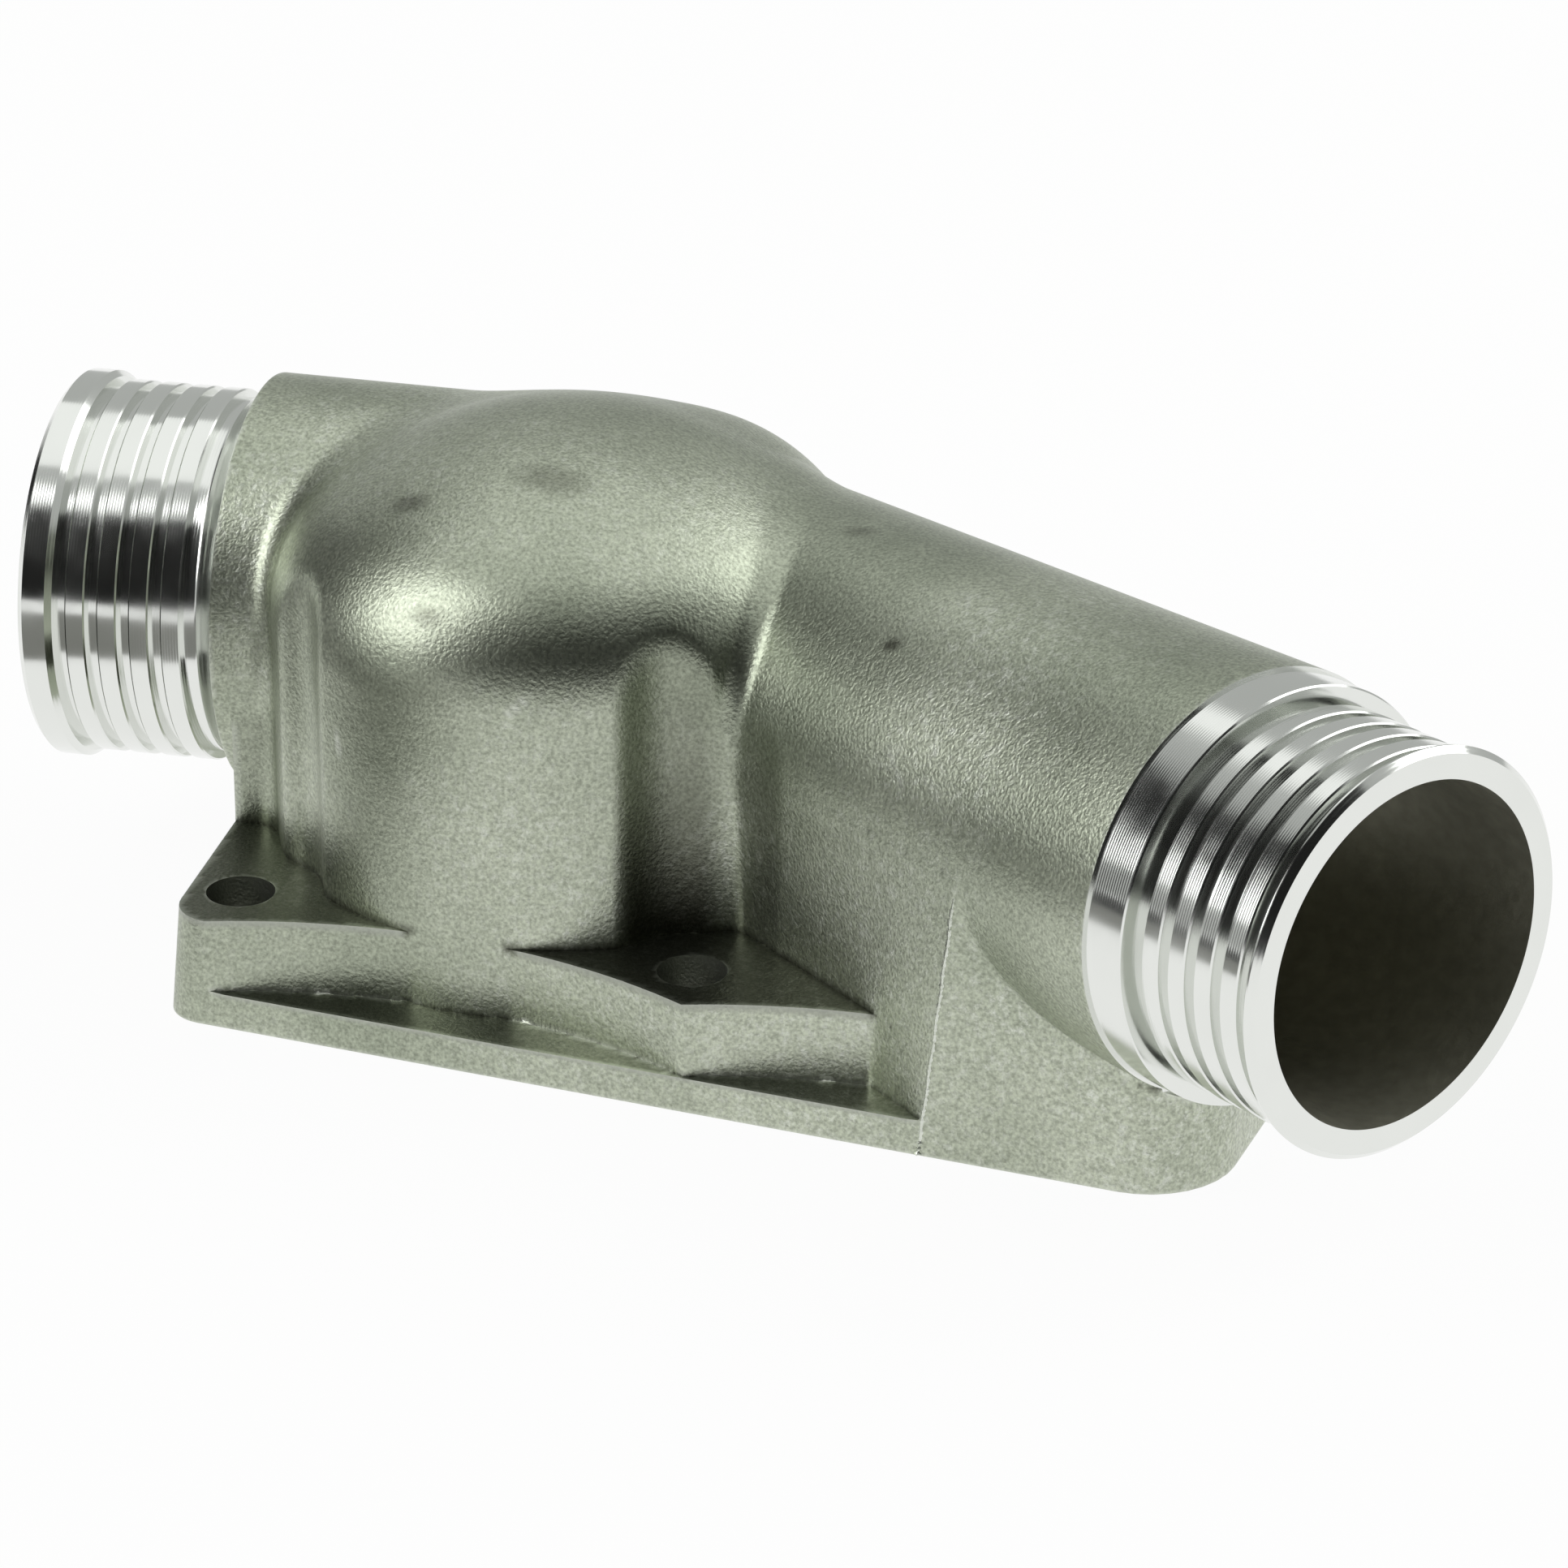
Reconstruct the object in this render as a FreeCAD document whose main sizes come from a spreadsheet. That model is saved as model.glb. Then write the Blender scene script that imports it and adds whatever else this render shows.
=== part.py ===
"""Coolant thermostat housing: one aluminium casting with two machined hose necks.

Frame: the origin is the centre of the thermostat seat on the mating face, +Z points away from
the engine, +X runs along the front bolt row, and -Y is the side with the scalloped flange edge.
All sizes are in millimetres and degrees, and live in the sheet "sizes". The right tube is a cone
that widens towards its neck, and the angled wall below it leans until it is flush with the cone.
"""
import FreeCAD, Part
import math
import os
import Sketcher

V = FreeCAD.Vector
doc = FreeCAD.newDocument("thermostat_housing")
sheet = doc.addObject("Spreadsheet::Sheet", "sizes")

SIZES = {
    # flange
    "bolt_spacing": 49.0,
    "front_row": 27.3,
    "rear_row": 39.2,
    "bolt_hole_radius": 3.5,
    "bolt_edge": 7.5,
    "ledge_height": 3.8,
    "boss_height": 11.6,
    "front_corner_radius": 4.5,
    "end_draft": 1.2,
    "scallop_radius": 64.0,
    "scallop_pitch": 50.5,
    "scallop_middle": 1.0,
    "scallop_depth": 5.5,
    "spanner_radius": 8.3,
    # chamber
    "chamber_radius": 30.0,
    "dome_height": 56.0,
    "shoulder_radius": 14.8,
    "crown_radius": 42.2,
    "wall": 4.0,
    "seat_radius": 27.1,
    "seat_depth": 3.0,
    # passages
    "axis_height": 30.1,
    "junction_across": 6.1,
    "junction_back": 14.0,
    "bore_radius": 17.2,
    "left_turn": 8.6,
    "left_reach": 64.6,
    "left_end": 41.8,
    "left_half_width": 20.6,
    "left_root_radius": 21.0,
    "left_cast_radius": 21.5,
    "right_turn": 27.7,
    "right_reach": 104.5,
    "right_root_radius": 18.4,
    "right_cast_radius": 21.3,
    "right_back_half_width": 18.0,
    "bore_end": 32.0,
    "bore_end_radius": 15.2,
    "bore_taper": 0.8,
    "elbow_step": 0.3,
    "wall_lap": 0.1,
    # foot
    "foot_end": 80.2,
    "foot_corner_radius": 9.0,
    "foot_wall_start": 50.9,
    "foot_wall_turn": 35.4,
    "foot_wall_length": 46.0,
    "port_wall": 5.0,
    "port_corner_radius": 5.0,
    "port_length": 32.0,
    # necks
    "neck_length": 21.0,
    "lip_radius": 20.3,
    "lip_chamfer": 0.6,
    "ring_radius": 19.5,
    "groove_radius": 18.6,
    "groove_width": 1.3,
    "left_lip_width": 3.6,
    "right_lip_width": 1.4,
    "left_collar_width": 2.5,
    "right_collar_width": 4.7,
    "collar_radius": 21.0,
    "hose_room_radius": 26.0,
}
RING_COUNT = 4
SAME_PLACE = 0.01


def fill_sheet():
    """Writes each size in its own row, name beside value."""
    for row, (alias, value) in enumerate(SIZES.items(), 1):
        sheet.set(f"A{row}", alias)
        sheet.set(f"B{row}", str(value))
        sheet.setAlias(f"B{row}", alias)
    doc.recompute()


def size(alias):
    return float(sheet.get(alias))


def formula(text):
    """Turns plain size names into references to the sheet."""
    for alias in SIZES:
        text = text.replace(f"<{alias}>", f"sizes.{alias}")
    return text


def bind(item, **settings):
    for name, text in settings.items():
        item.setExpression(name.replace("__", "."), formula(text))


def place(item, across="0", back="0", up="0", turn="0"):
    """Ties an object's position, and its turn about the vertical, to the sheet."""
    item.Placement = FreeCAD.Placement(V(0, 0, 0), FreeCAD.Rotation(V(0, 0, 1), 1))
    for path, text in (("Base.x", across), ("Base.y", back), ("Base.z", up), ("Rotation.Angle", turn)):
        item.setExpression(f"Placement.{path}", formula(text))
    return item


def outline(name, corners):
    """A closed sketch through corners, each given as two formulas for its coordinates."""
    sketch = doc.addObject("Sketcher::SketchObject", name)
    count = len(corners)
    start = [V(index, index * index, 0) for index in range(count)]
    for index in range(count):
        sketch.addGeometry(Part.LineSegment(start[index], start[(index + 1) % count]), False)
    for index in range(count):
        sketch.addConstraint(Sketcher.Constraint("Coincident", index, 2, (index + 1) % count, 1))
    for index, (along, up) in enumerate(corners):
        for kind, text in (("DistanceX", along), ("DistanceY", up)):
            number = sketch.addConstraint(Sketcher.Constraint(kind, -1, 1, index, 1, 1.0))
            sketch.setExpression(f"Constraints[{number}]", formula(text))
    return sketch


def lofted(name, low_corners, high_corners, height):
    """A solid whose straight walls lean from one outline on the mating face to another above it."""
    solid = doc.addObject("Part::Loft", name)
    top = place(outline(name + "_top", high_corners), up=height)
    solid.Sections = [outline(name + "_foot", low_corners), top]
    solid.Solid = True
    solid.Ruled = True
    return solid


def extruded(name, base, height):
    """An upright solid on a flat outline."""
    solid = doc.addObject("Part::Extrusion", name)
    solid.Base = base
    solid.DirMode = "Custom"
    solid.Dir = V(0, 0, 1)
    solid.Solid = True
    bind(solid, LengthFwd=height)
    return solid


def prism(name, corners, height):
    return extruded(name, outline(name + "_outline", corners), height)


def revolved(name, profile):
    """A solid turned about its own X axis from a half profile."""
    solid = doc.addObject("Part::Revolution", name)
    solid.Source = profile
    solid.Axis = V(1, 0, 0)
    solid.Base = V(0, 0, 0)
    solid.Angle = 360
    solid.Solid = True
    return solid


def turned(name, corners):
    return revolved(name, outline(name + "_profile", corners))


def cylinder(name, radius, height):
    solid = doc.addObject("Part::Cylinder", name)
    bind(solid, Radius=radius, Height=height)
    return solid


def fused(name, shapes):
    result = doc.addObject("Part::MultiFuse", name)
    result.Shapes = shapes
    return result


def cut(name, base, tool):
    result = doc.addObject("Part::Cut", name)
    result.Base = base
    result.Tool = tool
    return result


def rounded(name, base, radius, wanted):
    """Rounds the edges of base that wanted picks."""
    doc.recompute()
    result = doc.addObject("Part::Fillet", name)
    result.Base = base
    edges = [number for number, edge in enumerate(base.Shape.Edges, 1) if wanted(edge)]
    result.Edges = [(number, radius, radius) for number in edges]
    return result


def standing_at(*places):
    """Picks the edges that rise from the given points of the mating face."""
    def wanted(edge):
        ends = [vertex.Point for vertex in edge.Vertexes]
        if len(ends) != 2 or abs(ends[0].z - ends[1].z) < SAME_PLACE:
            return False
        low = min(ends, key=lambda point: point.z)
        return any(math.hypot(low.x - x, low.y - y) < SAME_PLACE for x, y in places)
    return wanted


def along_left(item, up="<axis_height>"):
    """Sets an object's X axis on the left passage, pointing out of its neck."""
    return place(item, "<junction_across>", "<junction_back>", up, "180 + <left_turn>")


def along_right(item, up="<axis_height>"):
    return place(item, "<junction_across>", "<junction_back>", up, "-<right_turn>")


def upright(solid):
    """Stands a solid that was turned about X on the mating face."""
    solid.Placement = FreeCAD.Placement(V(0, 0, 0), FreeCAD.Rotation(V(0, 1, 0), -90))
    return solid


def dome_profile(name):
    """Half section of the chamber's outside along X: wall, rounded shoulder and flatter crown."""
    sketch = doc.addObject("Sketcher::SketchObject", name)
    radius, height, shoulder, crown = (
        size(alias) for alias in ("chamber_radius", "dome_height", "shoulder_radius", "crown_radius")
    )
    crown_centre = V(height - crown, 0, 0)
    across = radius - shoulder
    rise = math.sqrt((crown - shoulder) ** 2 - across ** 2)
    shoulder_centre = crown_centre + V(rise, across, 0)
    meeting = math.atan2(across, rise)
    sketch.addGeometry(Part.LineSegment(V(0, 0, 0), V(0, radius, 0)), False)
    sketch.addGeometry(Part.LineSegment(V(0, radius, 0), V(shoulder_centre.x, radius, 0)), False)
    circle = Part.Circle(shoulder_centre, V(0, 0, 1), shoulder)
    sketch.addGeometry(Part.ArcOfCircle(circle, meeting, math.pi / 2), False)
    circle = Part.Circle(crown_centre, V(0, 0, 1), crown)
    sketch.addGeometry(Part.ArcOfCircle(circle, 0, meeting), False)
    sketch.addGeometry(Part.LineSegment(V(height, 0, 0), V(0, 0, 0)), False)
    for rule in (
        ("Coincident", 0, 1, -1, 1),
        ("Coincident", 0, 2, 1, 1),
        ("Tangent", 1, 2, 2, 2),
        ("Tangent", 2, 1, 3, 2),
        ("Coincident", 3, 1, 4, 1),
        ("Coincident", 4, 2, 0, 1),
        ("Vertical", 0),
        ("Horizontal", 1),
        ("Horizontal", 4),
        ("PointOnObject", 3, 3, -1),
    ):
        sketch.addConstraint(Sketcher.Constraint(*rule))
    for rule, alias in (
        (("DistanceY", -1, 1, 0, 2), "chamber_radius"),
        (("DistanceX", -1, 1, 3, 1), "dome_height"),
        (("Radius", 2), "shoulder_radius"),
        (("Radius", 3), "crown_radius"),
    ):
        number = sketch.addConstraint(Sketcher.Constraint(*rule, size(alias)))
        sketch.setExpression(f"Constraints[{number}]", formula(f"<{alias}>"))
    return sketch


def chamber_room():
    """Half section of the room inside the chamber, a wall inside the dome or a little more."""
    across = "(<chamber_radius> - <shoulder_radius>)"
    reach = "(<crown_radius> - <shoulder_radius>)"
    rise = f"sqrt({reach} ^ 2 - {across} ^ 2)"
    crown_centre = "(<dome_height> - <crown_radius>)"
    share = f"(<crown_radius> - <wall>) / {reach}"
    return [
        ("0", "0"),
        ("0", "<chamber_radius> - <wall>"),
        (f"{crown_centre} + {rise}", "<chamber_radius> - <wall>"),
        (f"{crown_centre} + {rise} * {share}", f"{across} * {share}"),
        ("<dome_height> - <wall>", "0"),
    ]


def neck_profile(side, root_radius, cast_radius, cone_collar):
    """Half profile of a passage: cast tube, machined shoulder, collar, ring grooves and lip."""
    reach = f"<{side}_reach>"
    lip = f"<{side}_lip_width>"
    collar = f"<{side}_collar_width>"
    shoulder = f"{reach} - <neck_length>"
    collar_radius = "<groove_radius>" if cone_collar else "<collar_radius>"
    profile = [
        ("0", "0"),
        ("0", root_radius),
        (shoulder, cast_radius),
        (shoulder, "<collar_radius>"),
        (f"{shoulder} + {collar}", collar_radius),
        (f"{shoulder} + {collar}", "<groove_radius>"),
    ]
    if cone_collar:
        profile.pop()
    rings_start = f"{shoulder} + {collar} + <groove_width>"
    ring = f"(<neck_length> - {lip} - {collar} - <groove_width>) / {RING_COUNT}"
    for index in range(RING_COUNT):
        start = f"{rings_start} + {index} * {ring}"
        end = f"{rings_start} + {index + 1} * {ring} - <groove_width>"
        profile += [
            (start, "<groove_radius>"),
            (start, "<ring_radius>"),
            (end, "<ring_radius>"),
            (end, "<groove_radius>"),
        ]
    profile += [
        (f"{reach} - {lip}", "<groove_radius>"),
        (f"{reach} - {lip}", "<lip_radius> - <lip_chamfer>"),
        (f"{reach} - {lip} + <lip_chamfer>", "<lip_radius>"),
        (f"{reach} - <lip_chamfer>", "<lip_radius>"),
        (reach, "<lip_radius> - <lip_chamfer>"),
        (reach, "0"),
    ]
    return profile


FRONT = "(<front_row> + <bolt_edge>)"
REAR = "(<rear_row> + <bolt_edge>)"
SIDE = "(<bolt_spacing> / 2 + <bolt_edge>)"
LEFT_END_X = "(<junction_across> - <left_end> * cos(<left_turn>))"
LEFT_END_Y = "(<junction_back> - <left_end> * sin(<left_turn>))"
LEFT_REAR_CORNER = (
    f"{LEFT_END_X} - <left_half_width> * sin(<left_turn>)",
    f"{LEFT_END_Y} + <left_half_width> * cos(<left_turn>)",
)
LEFT_FRONT_CORNER = (
    f"{LEFT_END_X} + <left_half_width> * sin(<left_turn>)",
    f"{LEFT_END_Y} - <left_half_width> * cos(<left_turn>)",
)
LEFT_BACK = "<left_half_width> / cos(<left_turn>)"
RIGHT_BACK = "<right_back_half_width> / cos(<right_turn>)"
TAPER = "((<right_cast_radius> - <right_root_radius>) / (<right_reach> - <neck_length>))"
FLUSH_ROOT = "(<right_root_radius> - <wall_lap>)"
APEX_STEP = f"(({RIGHT_BACK} - {LEFT_BACK}) / (tan(<left_turn>) + tan(<right_turn>)))"


def flush_point(along):
    """The widest point of the right tube's front side, at a distance along its axis."""
    out = f"({FLUSH_ROOT} + {TAPER} * {along})"
    return (
        f"<junction_across> + {along} * cos(<right_turn>) - {out} * sin(<right_turn>)",
        f"<junction_back> - {along} * sin(<right_turn>) - {out} * cos(<right_turn>)",
    )


def casting_floor():
    """The walls below the two passages, with the foot at the right end."""
    reach = (
        f"((<junction_back> + {FRONT} - {FLUSH_ROOT} * cos(<right_turn>))"
        f" / (sin(<right_turn>) + {TAPER} * cos(<right_turn>)))"
    )
    inner, (outer_x, _) = flush_point("0"), flush_point(reach)
    flush = [inner, (outer_x, f"-{FRONT}")]
    inside_flush = [
        [(f"{inner[0]} + {step}", f"{inner[1]} + {step}"), (f"{outer_x} + {step}", f"-{FRONT}")]
        for step in ("<wall> / 2", "<wall>")
    ]
    block = prism("passage_walls", [
        LEFT_FRONT_CORNER,
        ("0", f"<junction_back> - {LEFT_BACK} - <junction_across> * tan(<left_turn>)"),
        *inside_flush[0],
        ("<foot_end>", f"-{FRONT}"),
        ("<foot_end>", f"<junction_back> + {RIGHT_BACK} - (<foot_end> - <junction_across>) * tan(<right_turn>)"),
        (f"<junction_across> + {APEX_STEP}", f"<junction_back> + {LEFT_BACK} + {APEX_STEP} * tan(<left_turn>)"),
        LEFT_REAR_CORNER,
    ], "<axis_height>")
    doc.recompute()
    foot = [(v.X, v.Y) for v in block.Base.Shape.Vertexes if abs(v.X - size("foot_end")) < SAME_PLACE]
    rounded_block = rounded("rounded_walls", block, size("foot_corner_radius"), standing_at(*foot))

    # the angled wall leans from its line on the mating face until it is flush with the tube
    low = [
        (
            "<foot_wall_start> - <foot_wall_length> * cos(<foot_wall_turn>)",
            f"-{FRONT} + <foot_wall_length> * sin(<foot_wall_turn>)",
        ),
        ("<foot_wall_start>", f"-{FRONT}"),
    ]
    behind = inside_flush[1][::-1]
    return [rounded_block, lofted("leaning_wall", low + behind, flush + behind, "<axis_height>")]


def flange():
    """The bolting flange: a plate, and above it the bolt bosses with their scalloped front."""
    inside = "(<foot_wall_start> + <wall>)"
    front_left = f"{LEFT_END_X} + ({FRONT} + {LEFT_END_Y}) * tan(<left_turn>)"
    others = [
        (inside, f"-{FRONT}"),
        (inside, f"-{FRONT} + <foot_corner_radius>"),
        (SIDE, "<junction_back>"),
        (SIDE, REAR),
        (f"-{SIDE}", REAR),
        LEFT_REAR_CORNER,
    ]
    low = [(f"{front_left} - <end_draft>", f"-{FRONT}")] + others
    plate = lofted("flange_plate", low, [(front_left, f"-{FRONT}")] + others, "<boss_height>")
    doc.recompute()
    side = size("bolt_spacing") / 2 + size("bolt_edge")
    rear = size("rear_row") + size("bolt_edge")
    corner_point = plate.Sections[0].Shape.Vertexes[0].Point
    ears = rounded("flange_ears", plate, size("bolt_edge"), standing_at((side, rear), (-side, rear)))
    corner = rounded("flange_corner", ears, size("front_corner_radius"), standing_at((corner_point.x, corner_point.y)))
    scallops = []
    for index in range(2):
        scallop = cylinder(f"scallop_{index}", "<scallop_radius>", "<boss_height>")
        place(
            scallop,
            f"<scallop_middle> + {index} * <scallop_pitch>",
            f"<scallop_depth> - {FRONT} - <scallop_radius>",
            "<ledge_height>",
        )
        scallops.append(scallop)
    return cut("scalloped_flange", corner, fused("scallops", scallops))


def outside():
    """Everything outside the casting, before it is bored."""
    left = along_left(turned("left_passage", neck_profile("left", "<left_root_radius>", "<left_cast_radius>", True)))
    right = along_right(turned("right_passage", neck_profile("right", "<right_root_radius>", "<right_cast_radius>", False)))
    elbow = doc.addObject("Part::Sphere", "elbow")
    bind(elbow, Radius="<left_root_radius> - <elbow_step>")
    place(elbow, "<junction_across>", "<junction_back>", "<axis_height>")
    chamber = upright(revolved("chamber", dome_profile("chamber_profile")))
    hose_room = along_right(turned("hose_room", [
        ("<right_reach> - <neck_length>", "0"),
        ("<right_reach> - <neck_length>", "<hose_room_radius>"),
        ("<right_reach>", "<hose_room_radius>"),
        ("<right_reach>", "0"),
    ]))
    floor = cut("floor_clear_of_hose", fused("floor", casting_floor()), hose_room)
    walls = fused("cast_walls", [floor, left, right, elbow, chamber])
    spanner_room = []
    for name, side in (("left", "-"), ("right", "")):
        room = cylinder(f"{name}_spanner_room", "<spanner_radius>", "<dome_height>")
        spanner_room.append(place(room, f"{side}<bolt_spacing> / 2", "-<front_row>", "<boss_height>"))
    relieved = cut("relieved_walls", walls, fused("spanner_room", spanner_room))
    return fused("casting_blank", [relieved, flange()])


def inside():
    """The two water passages, the thermostat seat and the bolt holes."""
    left = along_left(turned("left_bore", [
        ("0", "0"),
        ("0", "<bore_radius> - <bore_taper>"),
        ("<left_reach>", "<bore_radius>"),
        ("<left_reach>", "0"),
    ]))
    right = along_right(turned("right_bore", [
        ("<bore_end>", "0"),
        ("<bore_end>", "<bore_end_radius>"),
        ("<right_reach>", "<bore_radius>"),
        ("<right_reach>", "0"),
    ]))
    chamber = upright(turned("chamber_bore", chamber_room()))
    seat = cylinder("thermostat_seat", "<seat_radius>", "<seat_depth>")
    port_front = f"(<port_wall> - {FRONT})"
    port_end = "(<foot_end> - <port_wall>)"
    port_start = f"({port_end} - <port_length>)"
    slant = "<port_wall> / cos(<foot_wall_turn>)"
    back = f"<junction_back> + ({RIGHT_BACK}) - <port_wall> / cos(<right_turn>)"
    port = prism("foot_port", [
        (f"<foot_wall_start> + ({slant} - <port_wall>) / tan(<foot_wall_turn>)", port_front),
        (port_end, port_front),
        (port_end, f"{back} - ({port_end} - <junction_across>) * tan(<right_turn>)"),
        (port_start, f"{back} - ({port_start} - <junction_across>) * tan(<right_turn>)"),
        (port_start, f"{slant} - {FRONT} + (<foot_wall_start> - {port_start}) * tan(<foot_wall_turn>)"),
    ], "<axis_height> - <bore_radius> / 2")
    doc.recompute()
    corners = [(v.X, v.Y) for v in port.Base.Shape.Vertexes]
    rounded_port = rounded("rounded_port", port, size("port_corner_radius"), standing_at(*corners))
    holes = []
    for row, (name, back) in enumerate((("front", "-<front_row>"), ("rear", "<rear_row>"))):
        for side, across in (("left", "-<bolt_spacing> / 2"), ("right", "<bolt_spacing> / 2")):
            hole = cylinder(f"{name}_{side}_bolt_hole", "<bolt_hole_radius>", "<boss_height>")
            holes.append(place(hole, across, back))
    return fused("openings", [left, right, chamber, seat, rounded_port] + holes)


def check_document():
    """Stops if any object failed, or if the casting isn't one valid solid."""
    for item in doc.Objects:
        if "Invalid" in item.State or "Error" in item.State:
            raise RuntimeError(f"{item.Name} failed: {item.State}")
    shape = housing.Shape
    if shape.isNull() or not shape.isValid() or len(shape.Solids) != 1:
        raise RuntimeError("the housing isn't one valid solid")
    for item in doc.Objects:
        if item.TypeId == "Part::MultiFuse":
            for piece in item.Shapes:
                if piece.Shape.cut(item.Shape).Volume > SAME_PLACE * piece.Shape.Area:
                    raise RuntimeError(f"{item.Name} lost {piece.Name}")


fill_sheet()
housing = cut("housing", outside(), inside())
housing.Label = "housing"
doc.recompute()
check_document()
box = housing.Shape.optimalBoundingBox()
print(f"housing {box.XLength:.1f} x {box.YLength:.1f} x {box.ZLength:.1f} mm, {housing.Shape.Volume / 1000:.1f} cm3")
print(f"x {box.XMin:.2f} to {box.XMax:.2f}, y {box.YMin:.2f} to {box.YMax:.2f}, z {box.ZMin:.2f} to {box.ZMax:.2f}")
os.makedirs("parts", exist_ok=True)
housing.Shape.exportStep("parts/housing.step")
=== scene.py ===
"""Thermostat housing: a blasted aluminium casting with two turned hose necks, under soft light."""
import math

import bmesh
import bpy
import numpy as np
from mathutils import Matrix, Vector


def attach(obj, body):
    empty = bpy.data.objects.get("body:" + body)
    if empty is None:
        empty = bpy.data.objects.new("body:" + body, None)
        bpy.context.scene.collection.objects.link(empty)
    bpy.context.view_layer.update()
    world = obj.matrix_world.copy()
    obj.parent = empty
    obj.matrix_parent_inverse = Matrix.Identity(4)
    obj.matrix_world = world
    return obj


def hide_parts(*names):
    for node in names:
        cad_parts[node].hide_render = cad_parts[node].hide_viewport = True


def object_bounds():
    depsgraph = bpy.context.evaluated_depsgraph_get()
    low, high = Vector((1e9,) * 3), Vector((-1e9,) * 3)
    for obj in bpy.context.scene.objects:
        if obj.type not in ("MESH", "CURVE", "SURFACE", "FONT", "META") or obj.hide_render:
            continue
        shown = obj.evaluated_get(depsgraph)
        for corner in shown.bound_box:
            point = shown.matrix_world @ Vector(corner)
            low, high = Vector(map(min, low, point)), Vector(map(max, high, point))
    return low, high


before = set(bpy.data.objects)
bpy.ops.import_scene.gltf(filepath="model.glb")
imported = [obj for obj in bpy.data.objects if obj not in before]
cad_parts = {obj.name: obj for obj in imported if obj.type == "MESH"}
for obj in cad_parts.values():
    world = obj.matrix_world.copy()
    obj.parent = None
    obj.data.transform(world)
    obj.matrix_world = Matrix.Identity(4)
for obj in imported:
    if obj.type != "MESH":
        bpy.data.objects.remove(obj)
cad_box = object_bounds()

bl_info = {
    "name": "Thermostat housing",
    "version": (1, 0, 0),
    "blender": (4, 5, 0),
    "location": "View3D > Sidebar > Housing",
    "description": "Builds a cast aluminium thermostat housing and its stage",
    "category": "Object",
}

MM = 0.001
BODY = "root"
NODE = "housing"
RING_COUNT = 4
# how far forms reach into or past each other where the joint is hidden or cut off
OVERLAP = 2 * MM
TUBE_PAST = 3 * MM
TOOL_PAST = 5 * MM
# flat sides of the turned tools, of the necks and of a bolt hole
TOOL_SIDES, NECK_SIDES, HOLE_SIDES = 160, 256, 64
# how far a face's centre or a point may lie from the place that gives it its finish
NEAR = 0.05 * MM
# the finishes, in the order of the casting's material slots
SKIN, TURNED, BORE = 0, 1, 2
# dried drops and dull spots: where they are and their radius in millimetres, and how dark
STAINS = (
    (3.3, -11.1, 54.4, 1.9, 0.40),
    (-9.9, -15.8, 51.6, 1.1, 0.55),
    (-3.3, -27.2, 45.1, 0.9, 0.45),
    (32.3, -1.7, 49.5, 0.9, 0.40),
    (42.0, -18.8, 45.9, 0.6, 0.75),
)
# bright rubs from handling: both ends in millimetres
RUBS = (
    ((44.2, -27.0, 39.6), (46.4, -28.0, 37.2)),
    ((45.6, -28.4, 37.9), (47.4, -29.3, 36.0)),
    ((6.3, -29.3, 37.2), (8.1, -28.8, 39.0)),
    ((-13.5, -26.8, 30.6), (-13.2, -26.9, 28.6)),
    ((56.0, -22.0, 45.5), (63.0, -26.5, 45.6)),
)
# sockets of a colour mix: its share, both colours and the result
MIX_SHARE, MIX_FIRST, MIX_SECOND, MIX_COLOUR = 0, 6, 7, 2
# the stage, in metres: half the floor, how far it lies below the part, lamps with their place,
# width, height and watts, curtains between two angles and two heights, and flat cards
FLOOR_REACH = 1.6
FLOOR_DROP = 0.5 * MM
LAMPS = {
    "top_lamp": ((0.0, 0.30, 1.25), 1.4, 1.2, 3.0),
    "left_lamp": ((-0.80, -0.66, 0.78), 0.62, 1.1, 6.5),
    "right_lamp": ((0.75, 0.65, 0.75), 0.8, 0.8, 4.0),
}
LAMP_TARGET = (0.02, 0, 0.03)
CURTAIN_RADIUS = 1.1
CURTAINS = {
    "front_curtain": (-33, 84, -0.03, 1.35),
    "left_card": (-118, -65, -0.03, 1.25),
}
NEAR_CARD = ((-0.16, -0.22, 0), (-0.045, -0.22, 0), (-0.045, -0.055, 0), (-0.16, -0.02, 0))
FAR_CARD = ((-1.0, -0.5, 0), (-0.16, -0.22, 0), (-0.16, -0.02, 0), (-1.0, -0.06, 0))
# the photograph's viewpoint, solved from the circles of the necks and bolt holes
CAMERA_PLACE = (0.23947, -0.55497, 0.29847)
CAMERA_RIGHT = (0.93196, 0.36257, 0.0)
CAMERA_AHEAD = (-0.32838, 0.84409, -0.42388)
CAMERA_LENS = 149.07


def linear(code):
    """Turns an sRGB hex colour into the linear values that the shaders take."""
    parts = [int(code[start:start + 2], 16) / 255 for start in (1, 3, 5)]
    return [part / 12.92 if part <= 0.04045 else ((part + 0.055) / 1.055) ** 2.4 for part in parts]


def length(name, description, millimetres):
    """A length, written in millimetres and kept in metres."""
    return bpy.props.FloatProperty(
        name=name, description=description, default=millimetres * MM, unit="LENGTH", precision=4
    )


def angle(name, description, degrees):
    """An angle, written in degrees."""
    return bpy.props.FloatProperty(
        name=name, description=description, default=math.radians(degrees), subtype="ANGLE"
    )


def colour(name, description, code):
    """A colour, written as an sRGB hex code."""
    return bpy.props.FloatVectorProperty(
        name=name, description=description, default=linear(code), subtype="COLOR", size=3, min=0, max=1
    )


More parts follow.
